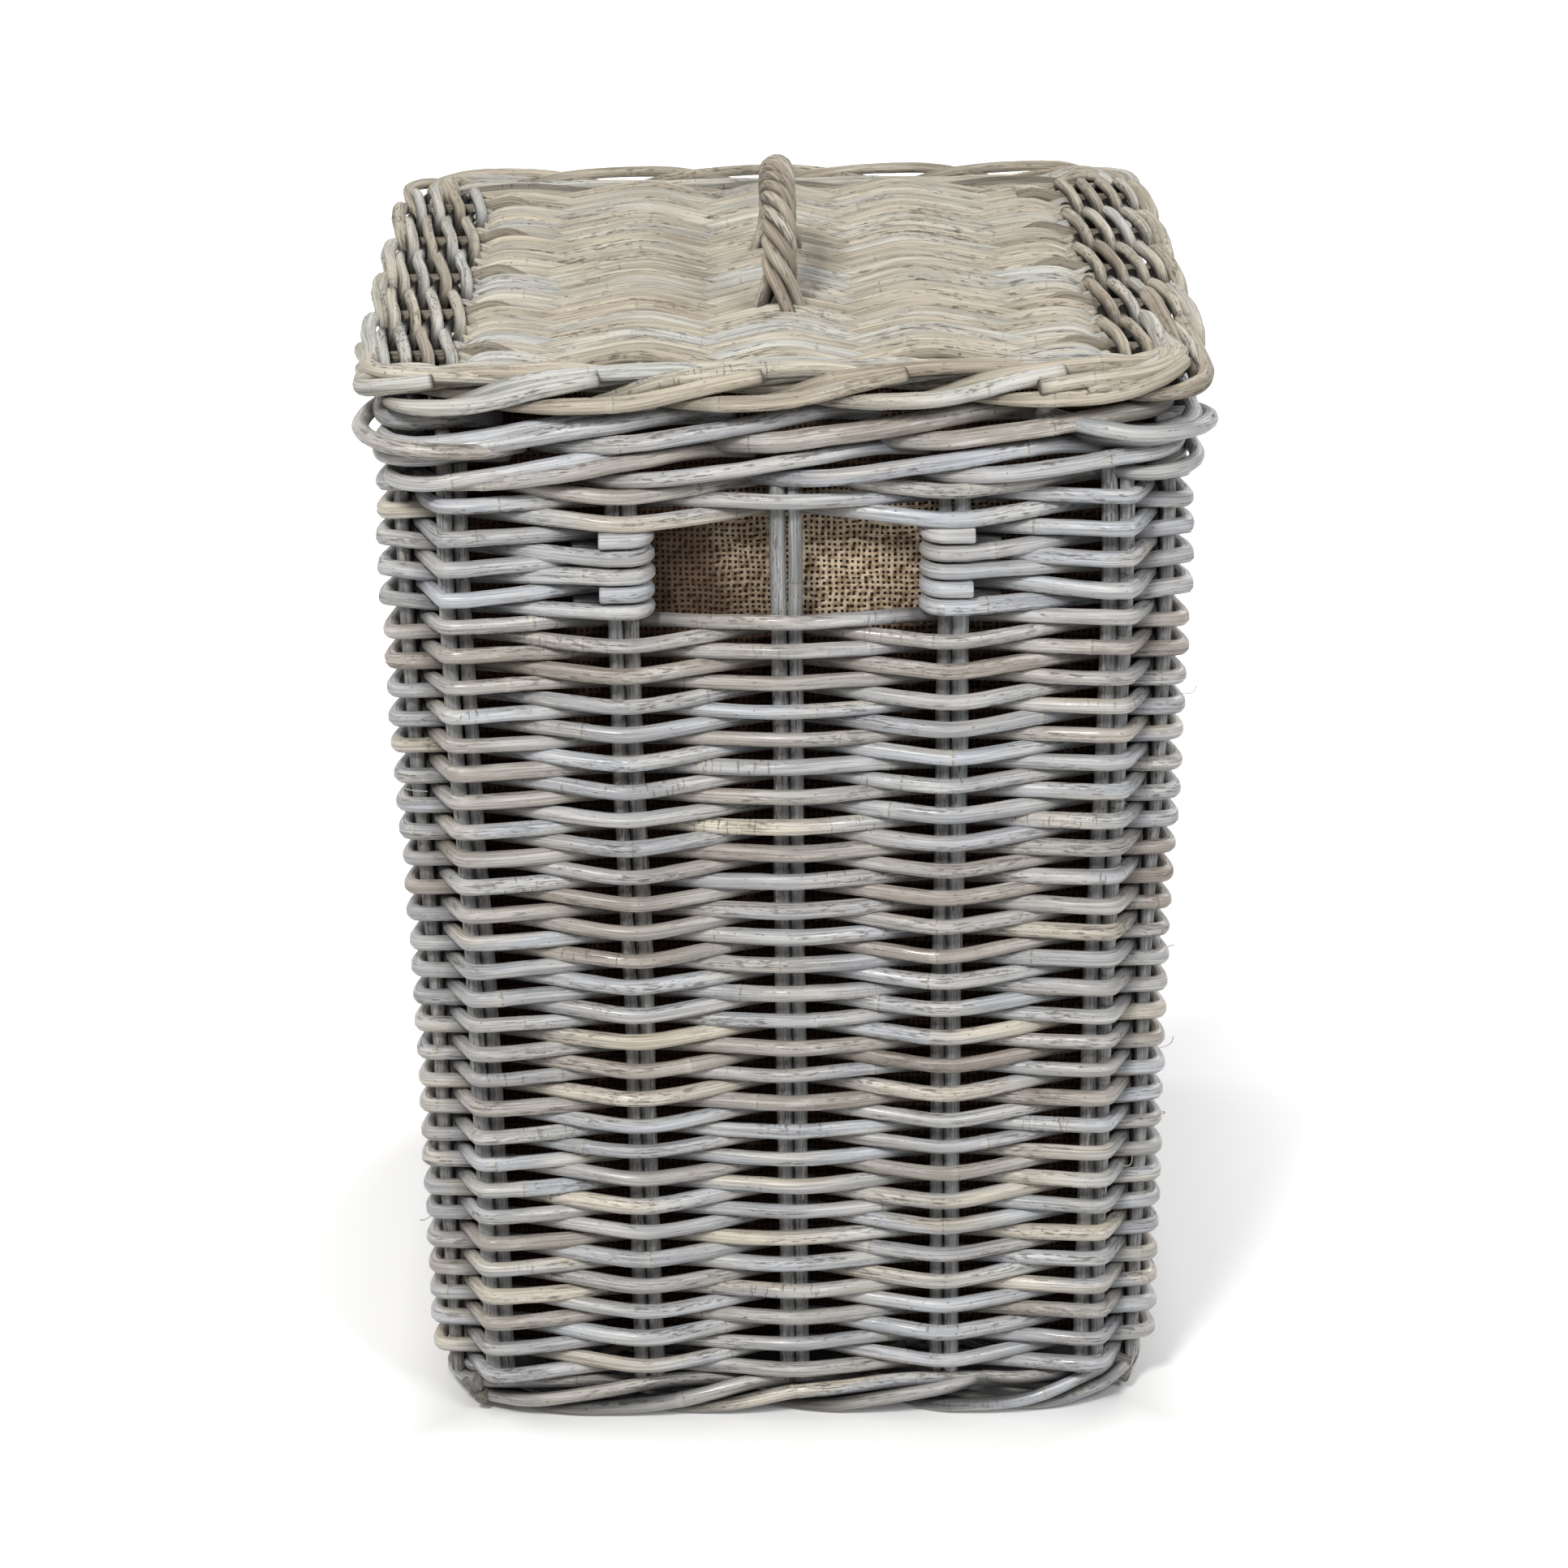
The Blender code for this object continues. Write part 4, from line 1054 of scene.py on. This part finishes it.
def make_base(material):
    """A plain-woven floor: thick double sticks from front to back with rods woven across them."""
    low, high = span("base_panel")
    middle = (low[2] + high[2]) / 2
    bundle = Bundle("woven_base", 320)
    rng = bundle.rng
    sticks = np.linspace(-1.0, 1.0, BASE_STICKS) * (high[0] - 16 * MM)
    for x in sticks:
        for side in (-1.0, 1.0):
            y = np.linspace(low[1] + 2 * MM, high[1] - 2 * MM, 60)
            place = x + side * 3.3 * MM + 0.5 * MM * wander(y, 200 * MM, rng)
            line = np.column_stack((place, y, np.full(60, middle)))
            bundle.rod(line, STICK_RADIUS, sides=8, ends=(CUT, CUT))
    gap = sticks[1] - sticks[0]
    count = int((high[1] - low[1]) / BASE_ROD_PITCH)
    for number, y in enumerate(np.linspace(low[1] + 5 * MM, high[1] - 5 * MM, count)):
        edge = high[0] - (3.0 * MM if abs(y) < high[1] - 16 * MM else 9.0 * MM)
        x = np.linspace(-edge, edge, 300)
        z = middle + BASE_ROD_SWING * np.cos(math.pi * (x / gap + number))
        line = np.column_stack((x, y + 0.5 * MM * wander(x, 150 * MM, rng), z))
        bundle.rod(line, rng.uniform(2.7, 3.1) * MM, sides=8, ends=(CUT, CUT))
    bundle.piece(material, "basket", "base_rattan", "base_panel")


# ---------------------------------------------------------------- the liner

# how far inside the stakes' line the cloth hangs
LINER_GAP = 15.2 * MM
LINER_THICKNESS = 1.1 * MM
LINER_ROWS, LINER_COLUMNS = 110, 420
FOLD_DEPTH = 5.0 * MM
DEEPEST_FOLD = 12 * MM
FOLD_COUNTS = (5, 9, 13, 21)
HEM_HALF_THICK = 1.9 * MM
HEM_HALF_HIGH = 11 * MM
HEM_PUCKERS = 96
HEM_SIDES = 16


def cloth_mesh(name, points, place, closed):
    """A grid of points, rows by columns, as a mesh with a UV map in metres of cloth."""
    rows, columns = points.shape[:2]
    width = columns if closed else columns - 1
    row, column = np.meshgrid(np.arange(rows - 1), np.arange(width), indexing="ij")
    follow = (column + 1) % columns
    quads = np.stack((row * columns + column, row * columns + follow, (row + 1) * columns + follow,
                      (row + 1) * columns + column), axis=-1).reshape(-1, 4)
    mesh = bpy.data.meshes.new(name)
    mesh.from_pydata(points.reshape(-1, 3).tolist(), [], quads.tolist())
    flat = place.reshape(-1, 2)[quads.ravel()].reshape(-1, 4, 2)
    if closed:
        wrap = flat[:, :, 0].max(axis=1) - flat[:, :, 0].min(axis=1) > WALL.length / 2
        flat[wrap, 1, 0] += WALL.length
        flat[wrap, 2, 0] += WALL.length
    mesh.uv_layers.new(name="cloth").data.foreach_set("uv", flat.astype(np.float32).ravel())
    mesh.shade_smooth()
    return mesh


def thicken(piece):
    """Gives a sheet its thickness, half to each side."""
    solid = piece.modifiers.new("cloth_thickness", "SOLIDIFY")
    solid.thickness = LINER_THICKNESS
    solid.offset = 0.0


def folds(along, z, rng):
    """How far the cloth hangs inwards: waves a whole number of times round the bag, which lean and
    grow towards the middle of its height and die out at the hem and the floor."""
    depth = np.zeros(np.broadcast(along, z).shape)
    share = (z - z.min()) / (z.max() - z.min())
    for count in FOLD_COUNTS:
        lean_by = rng.uniform(-3.0, 3.0)
        turn = 2 * math.pi * count * along / WALL.length
        depth = depth + np.sin(turn + lean_by * share + rng.uniform(0, 6)) / count
    calm = np.clip(share * 12, 0, 1) * np.clip((1 - share) * 9, 0, 1)
    return FOLD_DEPTH * calm * (0.7 + 2.6 * depth)


def liner_wall(low, high):
    """The wall panel: the line inside the stakes at every height, hung inwards in folds."""
    along = np.linspace(0.0, WALL.length, LINER_COLUMNS, endpoint=False)[None, :]
    z = np.linspace(low[2] + 2 * MM, high[2] - 9 * MM, LINER_ROWS)[:, None]
    hang = np.clip(folds(along, z, np.random.default_rng(400)), 0.0, DEEPEST_FOLD)
    inward = LINER_GAP + hang
    x, y = WALL.at(np.broadcast_to(along, inward.shape), -inward)
    place = np.stack(np.broadcast_arrays(along, z), axis=-1)
    return cloth_mesh("liner_wall", leaning(x, y, z), place, True)


def liner_floor(low, high):
    """The floor panel: a level rectangle with two crossing ripples."""
    narrowed = lean(low[2]) / lean(high[2])
    across = np.linspace(-1.0, 1.0, 70)[None, :] * (high[0] - 3 * MM) * narrowed
    deep = np.linspace(-1.0, 1.0, 80)[:, None] * (high[1] - 3 * MM) * narrowed
    rumple = 0.8 * MM * (np.sin(across * 61 + deep * 23) + np.sin(deep * 47 - across * 31))
    points = np.stack(np.broadcast_arrays(across, deep, low[2] + 2.2 * MM + rumple), axis=-1)
    place = np.stack(np.broadcast_arrays(across, deep), axis=-1)
    return cloth_mesh("liner_floor", points, place, False)


def liner_hem(high):
    """The turned hem: a flat ellipse carried round the bag's mouth, slightly puckered."""
    turn = np.linspace(0.0, 2.0 * math.pi, HEM_SIDES + 1)[:, None]
    turn[-1] = 0.0
    along = np.linspace(0.0, WALL.length, LINER_COLUMNS, endpoint=False)[None, :]
    pucker = 0.5 * MM * np.sin(2 * math.pi * HEM_PUCKERS * along / WALL.length)
    out = -LINER_GAP - 0.4 * MM + HEM_HALF_THICK * np.cos(turn) + pucker
    z = high[2] - 19 * MM + HEM_HALF_HIGH * np.sin(turn) + np.zeros_like(along)
    x, y = WALL.at(np.broadcast_to(along, out.shape), out)
    place = np.stack(np.broadcast_arrays(along, z), axis=-1)
    return cloth_mesh("liner_hem", leaning(x, y, z)[::-1], place[::-1], True)


def make_liner(material):
    """A hessian bag: a wall panel hung inside the rows, a floor panel, and a turned hem at the rim."""
    low, high = span("hessian_liner")
    wall = install(liner_wall(low, high), material, "basket", "hessian", "hessian_liner")
    thicken(wall)
    base = install(liner_floor(low, high), material, "basket", "hessian")
    thicken(base)
    hem = install(liner_hem(high), material, "basket", "hessian")
    weld = hem.modifiers.new("closed_seam", "WELD")
    weld.merge_threshold = 0.05 * MM


# ---------------------------------------------------------------- the lid

lid_low, lid_high = span("lid_rim")
LID_CORNER = 50.0 * MM
LID = RoundedLine(lid_high[0], lid_high[1], LID_CORNER)
LID_MIDDLE = (lid_low[2] + lid_high[2]) / 2
bar_boxes = [span(f"lid_bar_{number}") for number in range(1, 6)]
BARS = np.array([(low[0] + high[0]) / 2 for low, high in bar_boxes])
BAR_RADIUS = 4.8 * MM
BAR_MIDDLE = (bar_boxes[0][0][2] + bar_boxes[0][1][2]) / 2
FIELD_DEPTH = bar_boxes[0][1][1]
FIELD_EDGE = span("lid_side_strip_right_1")[1][0]
FIELD_PITCH = 8.7 * MM
FIELD_SWING = 7.8 * MM
FIELD_ROD = (4.35 * MM, 4.95 * MM)
# the cross sticks' places from front to back
STICKS = np.linspace(-2.0, 2.0, 5) * 80 * MM
# a cross stick's run out from the middle: distance and height over the bars, in millimetres
STICK_OUT = (128, 150, 165, 204)
STICK_RISE = (-3, 7.5, 4.2, 3.0)
# where the field's rods have been pushed apart: place, half width across and how far, in millimetres
OPENINGS = ((26.0, -4.5, 15.0, 3.2), (-9.0, 58.0, 9.0, 5.0))
# the twined columns of a side band: their places, and how far a rod swings aside and up
COLUMNS = (170.0 * MM, 181.6 * MM, 193.0 * MM, 203.5 * MM)
TWINE_ASIDE, TWINE_UP = 3.5 * MM, 4.4 * MM
TWINE_RADIUS = 3.25 * MM


def lid_point(along, inward, z):
    """Points by length along the lid's edge, distance in from it and height."""
    x, y = LID.at(along, -inward)
    return np.column_stack((x, y, np.broadcast_to(z, np.shape(x))))


def make_lid_bars(material):
    """The five bars from front to back that the field is woven over."""
    for number, (x, box) in enumerate(zip(BARS, bar_boxes), 1):
        bundle = Bundle(f"bar_{number}", 500 + number)
        y = np.linspace(box[0][1] - 6 * MM, box[1][1] + 6 * MM, 120)
        place = x + 0.6 * MM * wander(y, 250 * MM, bundle.rng)
        line = np.column_stack((place, y, np.full(120, BAR_MIDDLE)))
        bundle.rod(line, BAR_RADIUS, ends=(CUT, CUT))
        bundle.piece(material, "lid", "lid_rattan", f"lid_bar_{number}")


def field_rod(bundle, number, y, edge):
    """A rod across the bars: over every other one, taut between, turned down over the last."""
    rng = bundle.rng
    sides = np.where((np.arange(len(BARS)) + number) % 2 == 0, 1.0, -1.0)
    tops = np.where(sides > 0, FIELD_SWING, -FIELD_SWING * 0.86)
    tops[[0, -1]] *= 0.5
    knots_x = np.concatenate(([-edge], np.repeat(BARS, 2) + np.tile((-6.5, 6.5), len(BARS)) * MM, [edge]))
    ends_z = np.where(sides[[0, -1]] > 0, -5.0 * MM, 3.5 * MM)
    knots_z = np.concatenate((ends_z[:1], np.repeat(tops, 2), ends_z[1:]))
    x = np.linspace(-edge, edge, 420)
    z = np.interp(x, knots_x, knots_z)
    z = eased(z[:, None], 25, False)[:, 0]
    drift = 1.0 * MM * wander(x, 240 * MM, rng)
    for place_x, place_y, width, push in np.array(OPENINGS) * MM:
        near = np.exp(-((x - place_x) / width) ** 2 - abs(y - place_y) / (14 * MM))
        drift = drift + push * near * np.sign(y - place_y)
    line = np.column_stack((x, y + drift, BAR_MIDDLE + 0.4 * MM + z))
    tone = rng.uniform(0.22, 0.66) if rng.uniform() < 0.85 else rng.uniform(0.7, 0.85)
    own = (tone, *rng.uniform(0, 0.8, 2))
    # painted shade: the rod darkens where it dips below its middle
    shade = 1.0 - 0.26 * np.clip(0.35 - z / FIELD_SWING, 0.0, 1.0)
    bundle.rod(line, rng.uniform(*FIELD_ROD), ends=(ROUND, ROUND), tone=own, shade=shade)


def make_field(material):
    """The lid's close plain weave over five bars, with sticks out to the side bands."""
    bundle = Bundle("woven_field", 520)
    rng = bundle.rng
    count = int(2 * FIELD_DEPTH / FIELD_PITCH) + 1
    for number, y in enumerate(np.linspace(-FIELD_DEPTH + 3 * MM, FIELD_DEPTH - 3 * MM, count)):
        field_rod(bundle, number, y, FIELD_EDGE + rng.uniform(-3.0, 4.0) * MM)
    bundle.piece(material, "lid", "lid_rattan", "lid_field")
    sticks = Bundle("cross_sticks", 521)
    for y in STICKS:
        for side in (-1.0, 1.0):
            wobble = sticks.rng.uniform(-4, 4) * MM
            out = np.linspace(STICK_OUT[0], STICK_OUT[-1], 60)
            x = side * out * MM
            z = BAR_MIDDLE + through(out, STICK_OUT, STICK_RISE) * MM
            line = np.column_stack((x, y + wobble + 1.2 * MM * wander(x, 90 * MM, sticks.rng), z))
            own = (sticks.rng.uniform(0.0, 0.4), 0.2, 0.4)
            # painted shade on the sticks, which lie under the side bands
            sticks.rod(line, sticks.rng.uniform(3.3, 3.9) * MM, ends=(CUT, CUT), tone=own, shade=0.62)
    sticks.piece(material, "lid", "lid_rattan")


def twine(bundle, x, phase):
    """Two rods twined round each other and round the sticks: on top of one stick, under the next,
    crossing from the back left to the front right wherever they lie on top."""
    rng = bundle.rng
    step = STICKS[1] - STICKS[0]
    ends = FIELD_DEPTH + 9 * MM
    y = np.linspace(-ends, ends, 420)
    core = np.column_stack((np.full(420, x), y, np.full(420, LID_MIDDLE - 1 * MM)))
    for strand in range(2):
        turn = math.pi * (y / step + phase + strand) + 0.18 * wander(y, 170 * MM, rng)
        tuck = np.clip((np.abs(y) - FIELD_DEPTH + 10 * MM) / (16 * MM), 0.0, 1.0)
        wave = np.cos(turn)
        lift = 0.30 + wave * (1.15 - 0.25 * wave * wave)
        z = LID_MIDDLE + TWINE_UP * lift * (1.0 - tuck) - 3.0 * MM * tuck
        place = x - TWINE_ASIDE * np.sin(turn) + 0.5 * MM * wander(y, 120 * MM, rng)
        # painted shade where the strand passes under a stick, and, through the core, in the creases where
        # it faces the column's middle
        shade = 1.0 - 0.78 * np.clip(0.3 - wave, 0.0, 1.0)
        bundle.rod(np.column_stack((place, y, z)), TWINE_RADIUS * rng.uniform(0.93, 1.07),
                   ends=(ROUND, ROUND), shade=shade, core=core)


def make_side_bands(material):
    """Four twined columns at each side of the lid, neighbours half a twist apart."""
    for side, word in ((-1.0, "left"), (1.0, "right")):
        bundle = Bundle(f"twined_band_{word}", 530 + int(side))
        for number, x in enumerate(COLUMNS):
            twine(bundle, side * x, number % 2)
        nodes = [f"lid_side_strip_{word}_{number}" for number in range(1, 5)]
        bundle.piece(material, "lid", "lid_rattan", *nodes)


# the rolled rim: share of a strand's run, distance in from the lid's edge and height, in
# millimetres, for the outer strands at the front, sides and back and then for the inner ones
OUTER_RUN = (0.00, 0.15, 0.32, 0.52, 0.80, 1.00)
FRONT_IN = (16.0, 9.5, 5.2, 4.6, 8.5, 12.0)
FRONT_Z = (-8.0, -7.2, -6.0, -4.8, 2.0, 6.0)
SIDE_IN = (11.0, 6.0, 4.2, 5.0, 9.5, 13.0)
SIDE_Z = (-6.0, -3.0, 3.0, 5.4, 4.0, -3.5)
BACK_IN = (20.0, 12.5, 6.2, 6.2, 13.0, 20.0)
BACK_Z = (-5.0, -2.0, 1.5, 2.2, 0.0, -5.0)
INNER_RUN = (0.00, 0.12, 0.30, 0.52, 0.80, 1.00)
INNER_IN = (9.0, 11.5, 17.0, 20.5, 24.0, 27.0)
INNER_Z = (-8.0, -4.0, 2.6, 5.8, 5.6, 1.5)
SECOND_IN = (22.0, 23.0, 24.0, 26.0, 28.5, 31.0)
SECOND_Z = (-6.0, -3.0, 2.0, 5.2, 5.0, 0.5)
BACK_INNER_IN = (17.0, 18.0, 19.5, 22.0, 25.0, 28.0)
BACK_INNER_Z = (-7.0, -5.0, -3.6, -2.2, -2.0, -4.0)
RIM_STRANDS = 22
# radii of the outer strands at the front, sides and back
RIM_RADII = (4.25, 3.95, 3.05)
BLEND_LENGTH = 30 * MM


def edge_shares(along):
    """How far a place on the lid's edge belongs to its front, its sides and its back."""
    y = LID.at(along, 0.0)[1]
    front = float(np.clip((-y - LID.straight_y) / BLEND_LENGTH + 1.0, 0.0, 1.0))
    back = float(np.clip((y - LID.straight_y) / BLEND_LENGTH + 1.0, 0.0, 1.0))
    return front, 1.0 - front - back, back


def make_rim(material):
    """A rolled border. Outer strands come from beneath at the edge, dip outwards and climb to a cut
    end on top of the next. Along the sides and the back they run longer, in arcs tucked in at both ends."""
    rim = Bundle("rolled_rim", 540)
    rng = rim.rng
    for number in range(RIM_STRANDS):
        begin = (number + 0.35 + rng.uniform(-0.06, 0.06)) * LID.length / RIM_STRANDS
        shares = edge_shares(begin + 50 * MM)
        side = 1.0 - shares[0]
        length = (132 + 22 * side + rng.uniform(-9, 12)) * MM
        t = np.linspace(0.0, 1.0, 150)
        along = begin + (t - 0.12) * length
        inward = through(t, OUTER_RUN, shares @ np.array((FRONT_IN, SIDE_IN, BACK_IN)))
        height = through(t, OUTER_RUN, shares @ np.array((FRONT_Z, SIDE_Z, BACK_Z)))
        inward = inward * MM + 0.5 * MM * wander(along, 90 * MM, rng)
        radius = shares @ np.array(RIM_RADII) * MM * rng.uniform(0.94, 1.06)
        last = THIN if side > 0.5 else BLUNT
        line = lid_point(along, inward, LID_MIDDLE + height * MM)
        # painted shade where the strand is tucked in at its ends
        shade = tucked(t, 0.27, 0.02 + 0.18 * side, 0.2)
        rim.rod(line, radius, ends=(THIN, last), sides=12, shade=shade)
    rim.piece(material, "lid", "lid_rattan", "lid_rim")


CORNER_STRANDS = 3


def make_corners(material):
    """At each corner three strands start with a cut end at the outer edge and sweep across it, over
    the ends of the twined columns, to lie along the next edge; each starts nearer and further in."""
    bundle = Bundle("lid_corner_strands", 560)
    rng = bundle.rng
    t = np.linspace(0.0, 1.0, 150)
    for corner in LID.corners:
        back = edge_shares(corner)[2]
        for number in range(CORNER_STRANDS):
            run = (-82 + 24 * number, 0, 96 - 22 * number)
            in_from_edge = (2.5 + 2 * number, 12 + 2 * number, 20 + 4 * number, 28 + number)
            rise = (1.0 - 4.0 * (number > 0), 6.6, 4.6, -3.0)
            along = corner + through(t, (0.0, 0.35, 1.0), run) * MM
            inward = through(t, (0.0, 0.3, 0.6, 1.0), in_from_edge) * MM
            inward = inward + 3.5 * MM * back + 0.8 * MM * wander(along, 80 * MM, rng)
            z = LID_MIDDLE + through(t, (0.0, 0.3, 0.7, 1.0), rise) * MM - 5.0 * MM * back
            size = rng.uniform(3.7, 4.3) * MM
            line = lid_point(along, inward, z)
            # painted shade where the strand is tucked in at its ends
            bundle.rod(line, size, ends=(CUT, THIN), sides=12, shade=tucked(t, 0.01, 0.24, 0.2))
    bundle.piece(material, "lid", "lid_rattan")


# the plaits at the lid's front and back. Inner strands: the side's middle along the edge, their
# numbers from it, where in its step each comes out, their radius in millimetres, and the runs of
# the whole and the half numbers. Woven rods under them: how many, how far down and how much thinner
PLAITS = {
    "front": {
        "seed": 551, "facing": -1.0, "middle": 0.0,
        "numbers": np.arange(-3.0, 3.5, 0.5), "emerge": -0.33,
        "radius": 4.4, "runs": ((INNER_IN, INNER_Z), (SECOND_IN, SECOND_Z)),
        "woven": 4, "drop": 1.5 * MM, "thinner": 0.0,
    },
    "back": {
        "seed": 552, "facing": 1.0, "middle": LID.length / 2,
        "numbers": np.arange(-3.0, 3.0, 1.0), "emerge": 0.05,
        "radius": 3.4, "runs": ((BACK_INNER_IN, BACK_INNER_Z),),
        "woven": 3, "drop": 3.5 * MM, "thinner": 0.6,
    },
}
WOVEN_WAVE = 73 * MM


def make_plaits(material):
    """Inner strands that climb from under the rim and lie along the lid, over more woven rods."""
    t = np.linspace(0.0, 1.0, 170)
    for word, side in PLAITS.items():
        bundle = Bundle(f"{word}_plait", side["seed"])
        rng = bundle.rng
        for number in side["numbers"]:
            place = number + side["emerge"] + rng.uniform(-0.05, 0.05)
            length = (165 + rng.uniform(-12, 14)) * MM
            along = side["middle"] + place * LID.length / RIM_STRANDS + t * length
            run_in, run_z = side["runs"][-1 if number % 1.0 else 0]
            inward = through(t, INNER_RUN, run_in) * MM + 0.7 * MM * wander(along, 110 * MM, rng)
            z = LID_MIDDLE + through(t, INNER_RUN, run_z) * MM
            radius = side["radius"] * MM * rng.uniform(0.93, 1.07)
            line = lid_point(along, inward, z)
            # painted shade where the strand is tucked in at its ends
            bundle.rod(line, radius, ends=(THIN, THIN), sides=12, shade=tucked(t, 0.30, 0.10, 0.15))
        for number in range(side["woven"]):
            y = side["facing"] * (FIELD_DEPTH + (number * 7.6 + 2.0) * MM)
            edge = 204 * MM - number * 2 * MM
            x = np.linspace(-edge, edge, 300)
            z = LID_MIDDLE - side["drop"] + 3.0 * MM * np.cos(math.pi * (x / WOVEN_WAVE + number))
            line = np.column_stack((x, y + 1.6 * MM * wander(x, 170 * MM, rng), z))
            radius = (rng.uniform(3.9, 4.5) - side["thinner"]) * MM
            # painted shade: the woven rods further in, under the strands, are darker
            bundle.rod(line, radius, ends=(THIN, THIN), shade=0.85 if number < 2 else 0.4)
        bundle.piece(material, "lid", "lid_rattan", f"lid_{word}_plait")


# ---------------------------------------------------------------- the handle

HANDLE_STRANDS = 5
HANDLE_TWIST = 54 * MM
HANDLE_STRAND = 3.45 * MM
HANDLE_COIL = 6.2 * MM
# from the middle of the rope to its skin
HANDLE_HALF = 9.5 * MM
# where the strands part at the front and the back foot, as distances right and forward of it
FRONT_FEET = ((-15, 2), (-10, 6), (1, 8), (8, 7), (13, 3))
BACK_FEET = ((-14, -3), (-9, -7), (-1, -8), (9, -6), (14, -3))


def parted(end, feet, turn):
    """Where a strand ends among the lid's rods: the foot on the side that its turn has brought it to."""
    right, forward = feet[int(np.clip((math.cos(turn) + 1) * 2.5, 0, 4))]
    return np.array(((right * MM, end[1] - forward * MM, BAR_MIDDLE + 1 * MM),))


def make_handle(material):
    """A twisted rope bent over a half ellipse: each strand circles the arch's line, and at both feet
    the strands part and go down between the lid's rods."""
    low, high = span("lid_handle")
    middle_y = (low[1] + high[1]) / 2
    reach_y = (high[1] - low[1]) / 2 - HANDLE_HALF
    foot_z = low[2] + 4 * MM
    rise = high[2] - HANDLE_HALF - foot_z
    swing = np.linspace(math.pi, 0.0, 400)
    bent = (np.zeros(400), middle_y + reach_y * np.cos(swing), foot_z + rise * np.sin(swing))
    arch = evenly(np.column_stack(bent), MM)
    along = lengths_along(arch)
    ahead = np.gradient(arch, along, axis=0)
    ahead /= np.linalg.norm(ahead, axis=1)[:, None]
    aside = np.array((1.0, 0.0, 0.0))
    across = np.cross(ahead, aside)
    bundle = Bundle("twisted_handle", 600)
    for strand in range(HANDLE_STRANDS):
        turn = 2.0 * math.pi * (-along / HANDLE_TWIST + strand / HANDLE_STRANDS)
        coil = HANDLE_COIL * (1.0 + 0.05 * wander(along, 50 * MM, bundle.rng))
        rope = arch + (coil * np.cos(turn))[:, None] * aside + (coil * np.sin(turn))[:, None] * across
        start = parted(rope[0], FRONT_FEET, turn[0])
        finish = parted(rope[-1], BACK_FEET, turn[-1])
        line = eased(evenly(np.concatenate((start, rope[5:-5], finish)), MM), 15, False)
        radius = HANDLE_STRAND * bundle.rng.uniform(0.93, 1.07)
        # the core gives each strand painted shade in the creases, where it faces the rope's middle
        bundle.rod(line, radius, up=(1.0, 0.02, 0.01), ends=(ROUND, ROUND), core=arch)
    bundle.piece(material, "lid", "handle_rattan", "lid_handle")


# ---------------------------------------------------------------- stray fibres


FIBRE_COUNT = 26
FIBRE_RADIUS = 0.28 * MM
FIBRE_TONE = (0.9, 0.2, 0.1)


def make_fibres(material):
    """A few hair-thin splinters that have lifted from the rods of the wall."""
    bundle = Bundle("stray_fibres", 700)
    rng = bundle.rng
    for _ in range(FIBRE_COUNT):
        place = PAIRS[int(rng.integers(PAIR_COUNT))] + rng.uniform(-30, 30) * MM
        z = rng.uniform(60, 440) * MM
        t = np.linspace(0.0, 1.0, 24)
        length = rng.uniform(6, 17) * MM
        along = place + length * t * rng.uniform(-1, 1)
        outward = 11 * MM + 5 * MM * t + 2 * MM * np.sin(t * rng.uniform(2, 6))
        height = z + length * (t - 0.9 * t * t) * rng.uniform(-1.2, 1.2)
        bundle.rod(wall_point(along, outward, height), FIBRE_RADIUS, sides=5, lumps=0.0, tone=FIBRE_TONE)
    bundle.piece(material, "basket", "row_rattan")


# ---------------------------------------------------------------- putting it together

add_camera()
add_world()
add_lamps()
add_floor()
bpy.context.scene.view_settings.view_transform = "Standard"

wall_wash = rattan("wall_rattan", WALL_WASH, 0.34, 0.50, 0.75, 0.6)
stake_wash = rattan("stake_rattan", STAKE_WASH, 0.55, 0.60, 0.85)
border_wash = rattan("border_rattan", WALL_WASH, 0.34, 0.50, 0.75, 0.6)
lid_wash = rattan("lid_rattan", LID_WASH, 0.62, 0.36, 0.72, 0.25, 0.35, 0.90)
handle_wash = rattan("handle_rattan", HANDLE_WASH, 0.62, 0.40, 0.75, 0.25, 0.25)
base_wash = rattan("base_rattan", WALL_WASH, 0.60, 0.40, 0.75)
sacking = hessian("hessian")

make_stakes(stake_wash)
make_rows(wall_wash)
make_hand_holes(wall_wash)
make_borders(border_wash)
make_foot(border_wash)
make_base(base_wash)
make_liner(sacking)
make_lid_bars(lid_wash)
make_field(lid_wash)
make_side_bands(lid_wash)
make_rim(lid_wash)
make_corners(lid_wash)
make_plaits(lid_wash)
make_handle(handle_wash)
make_fibres(wall_wash)
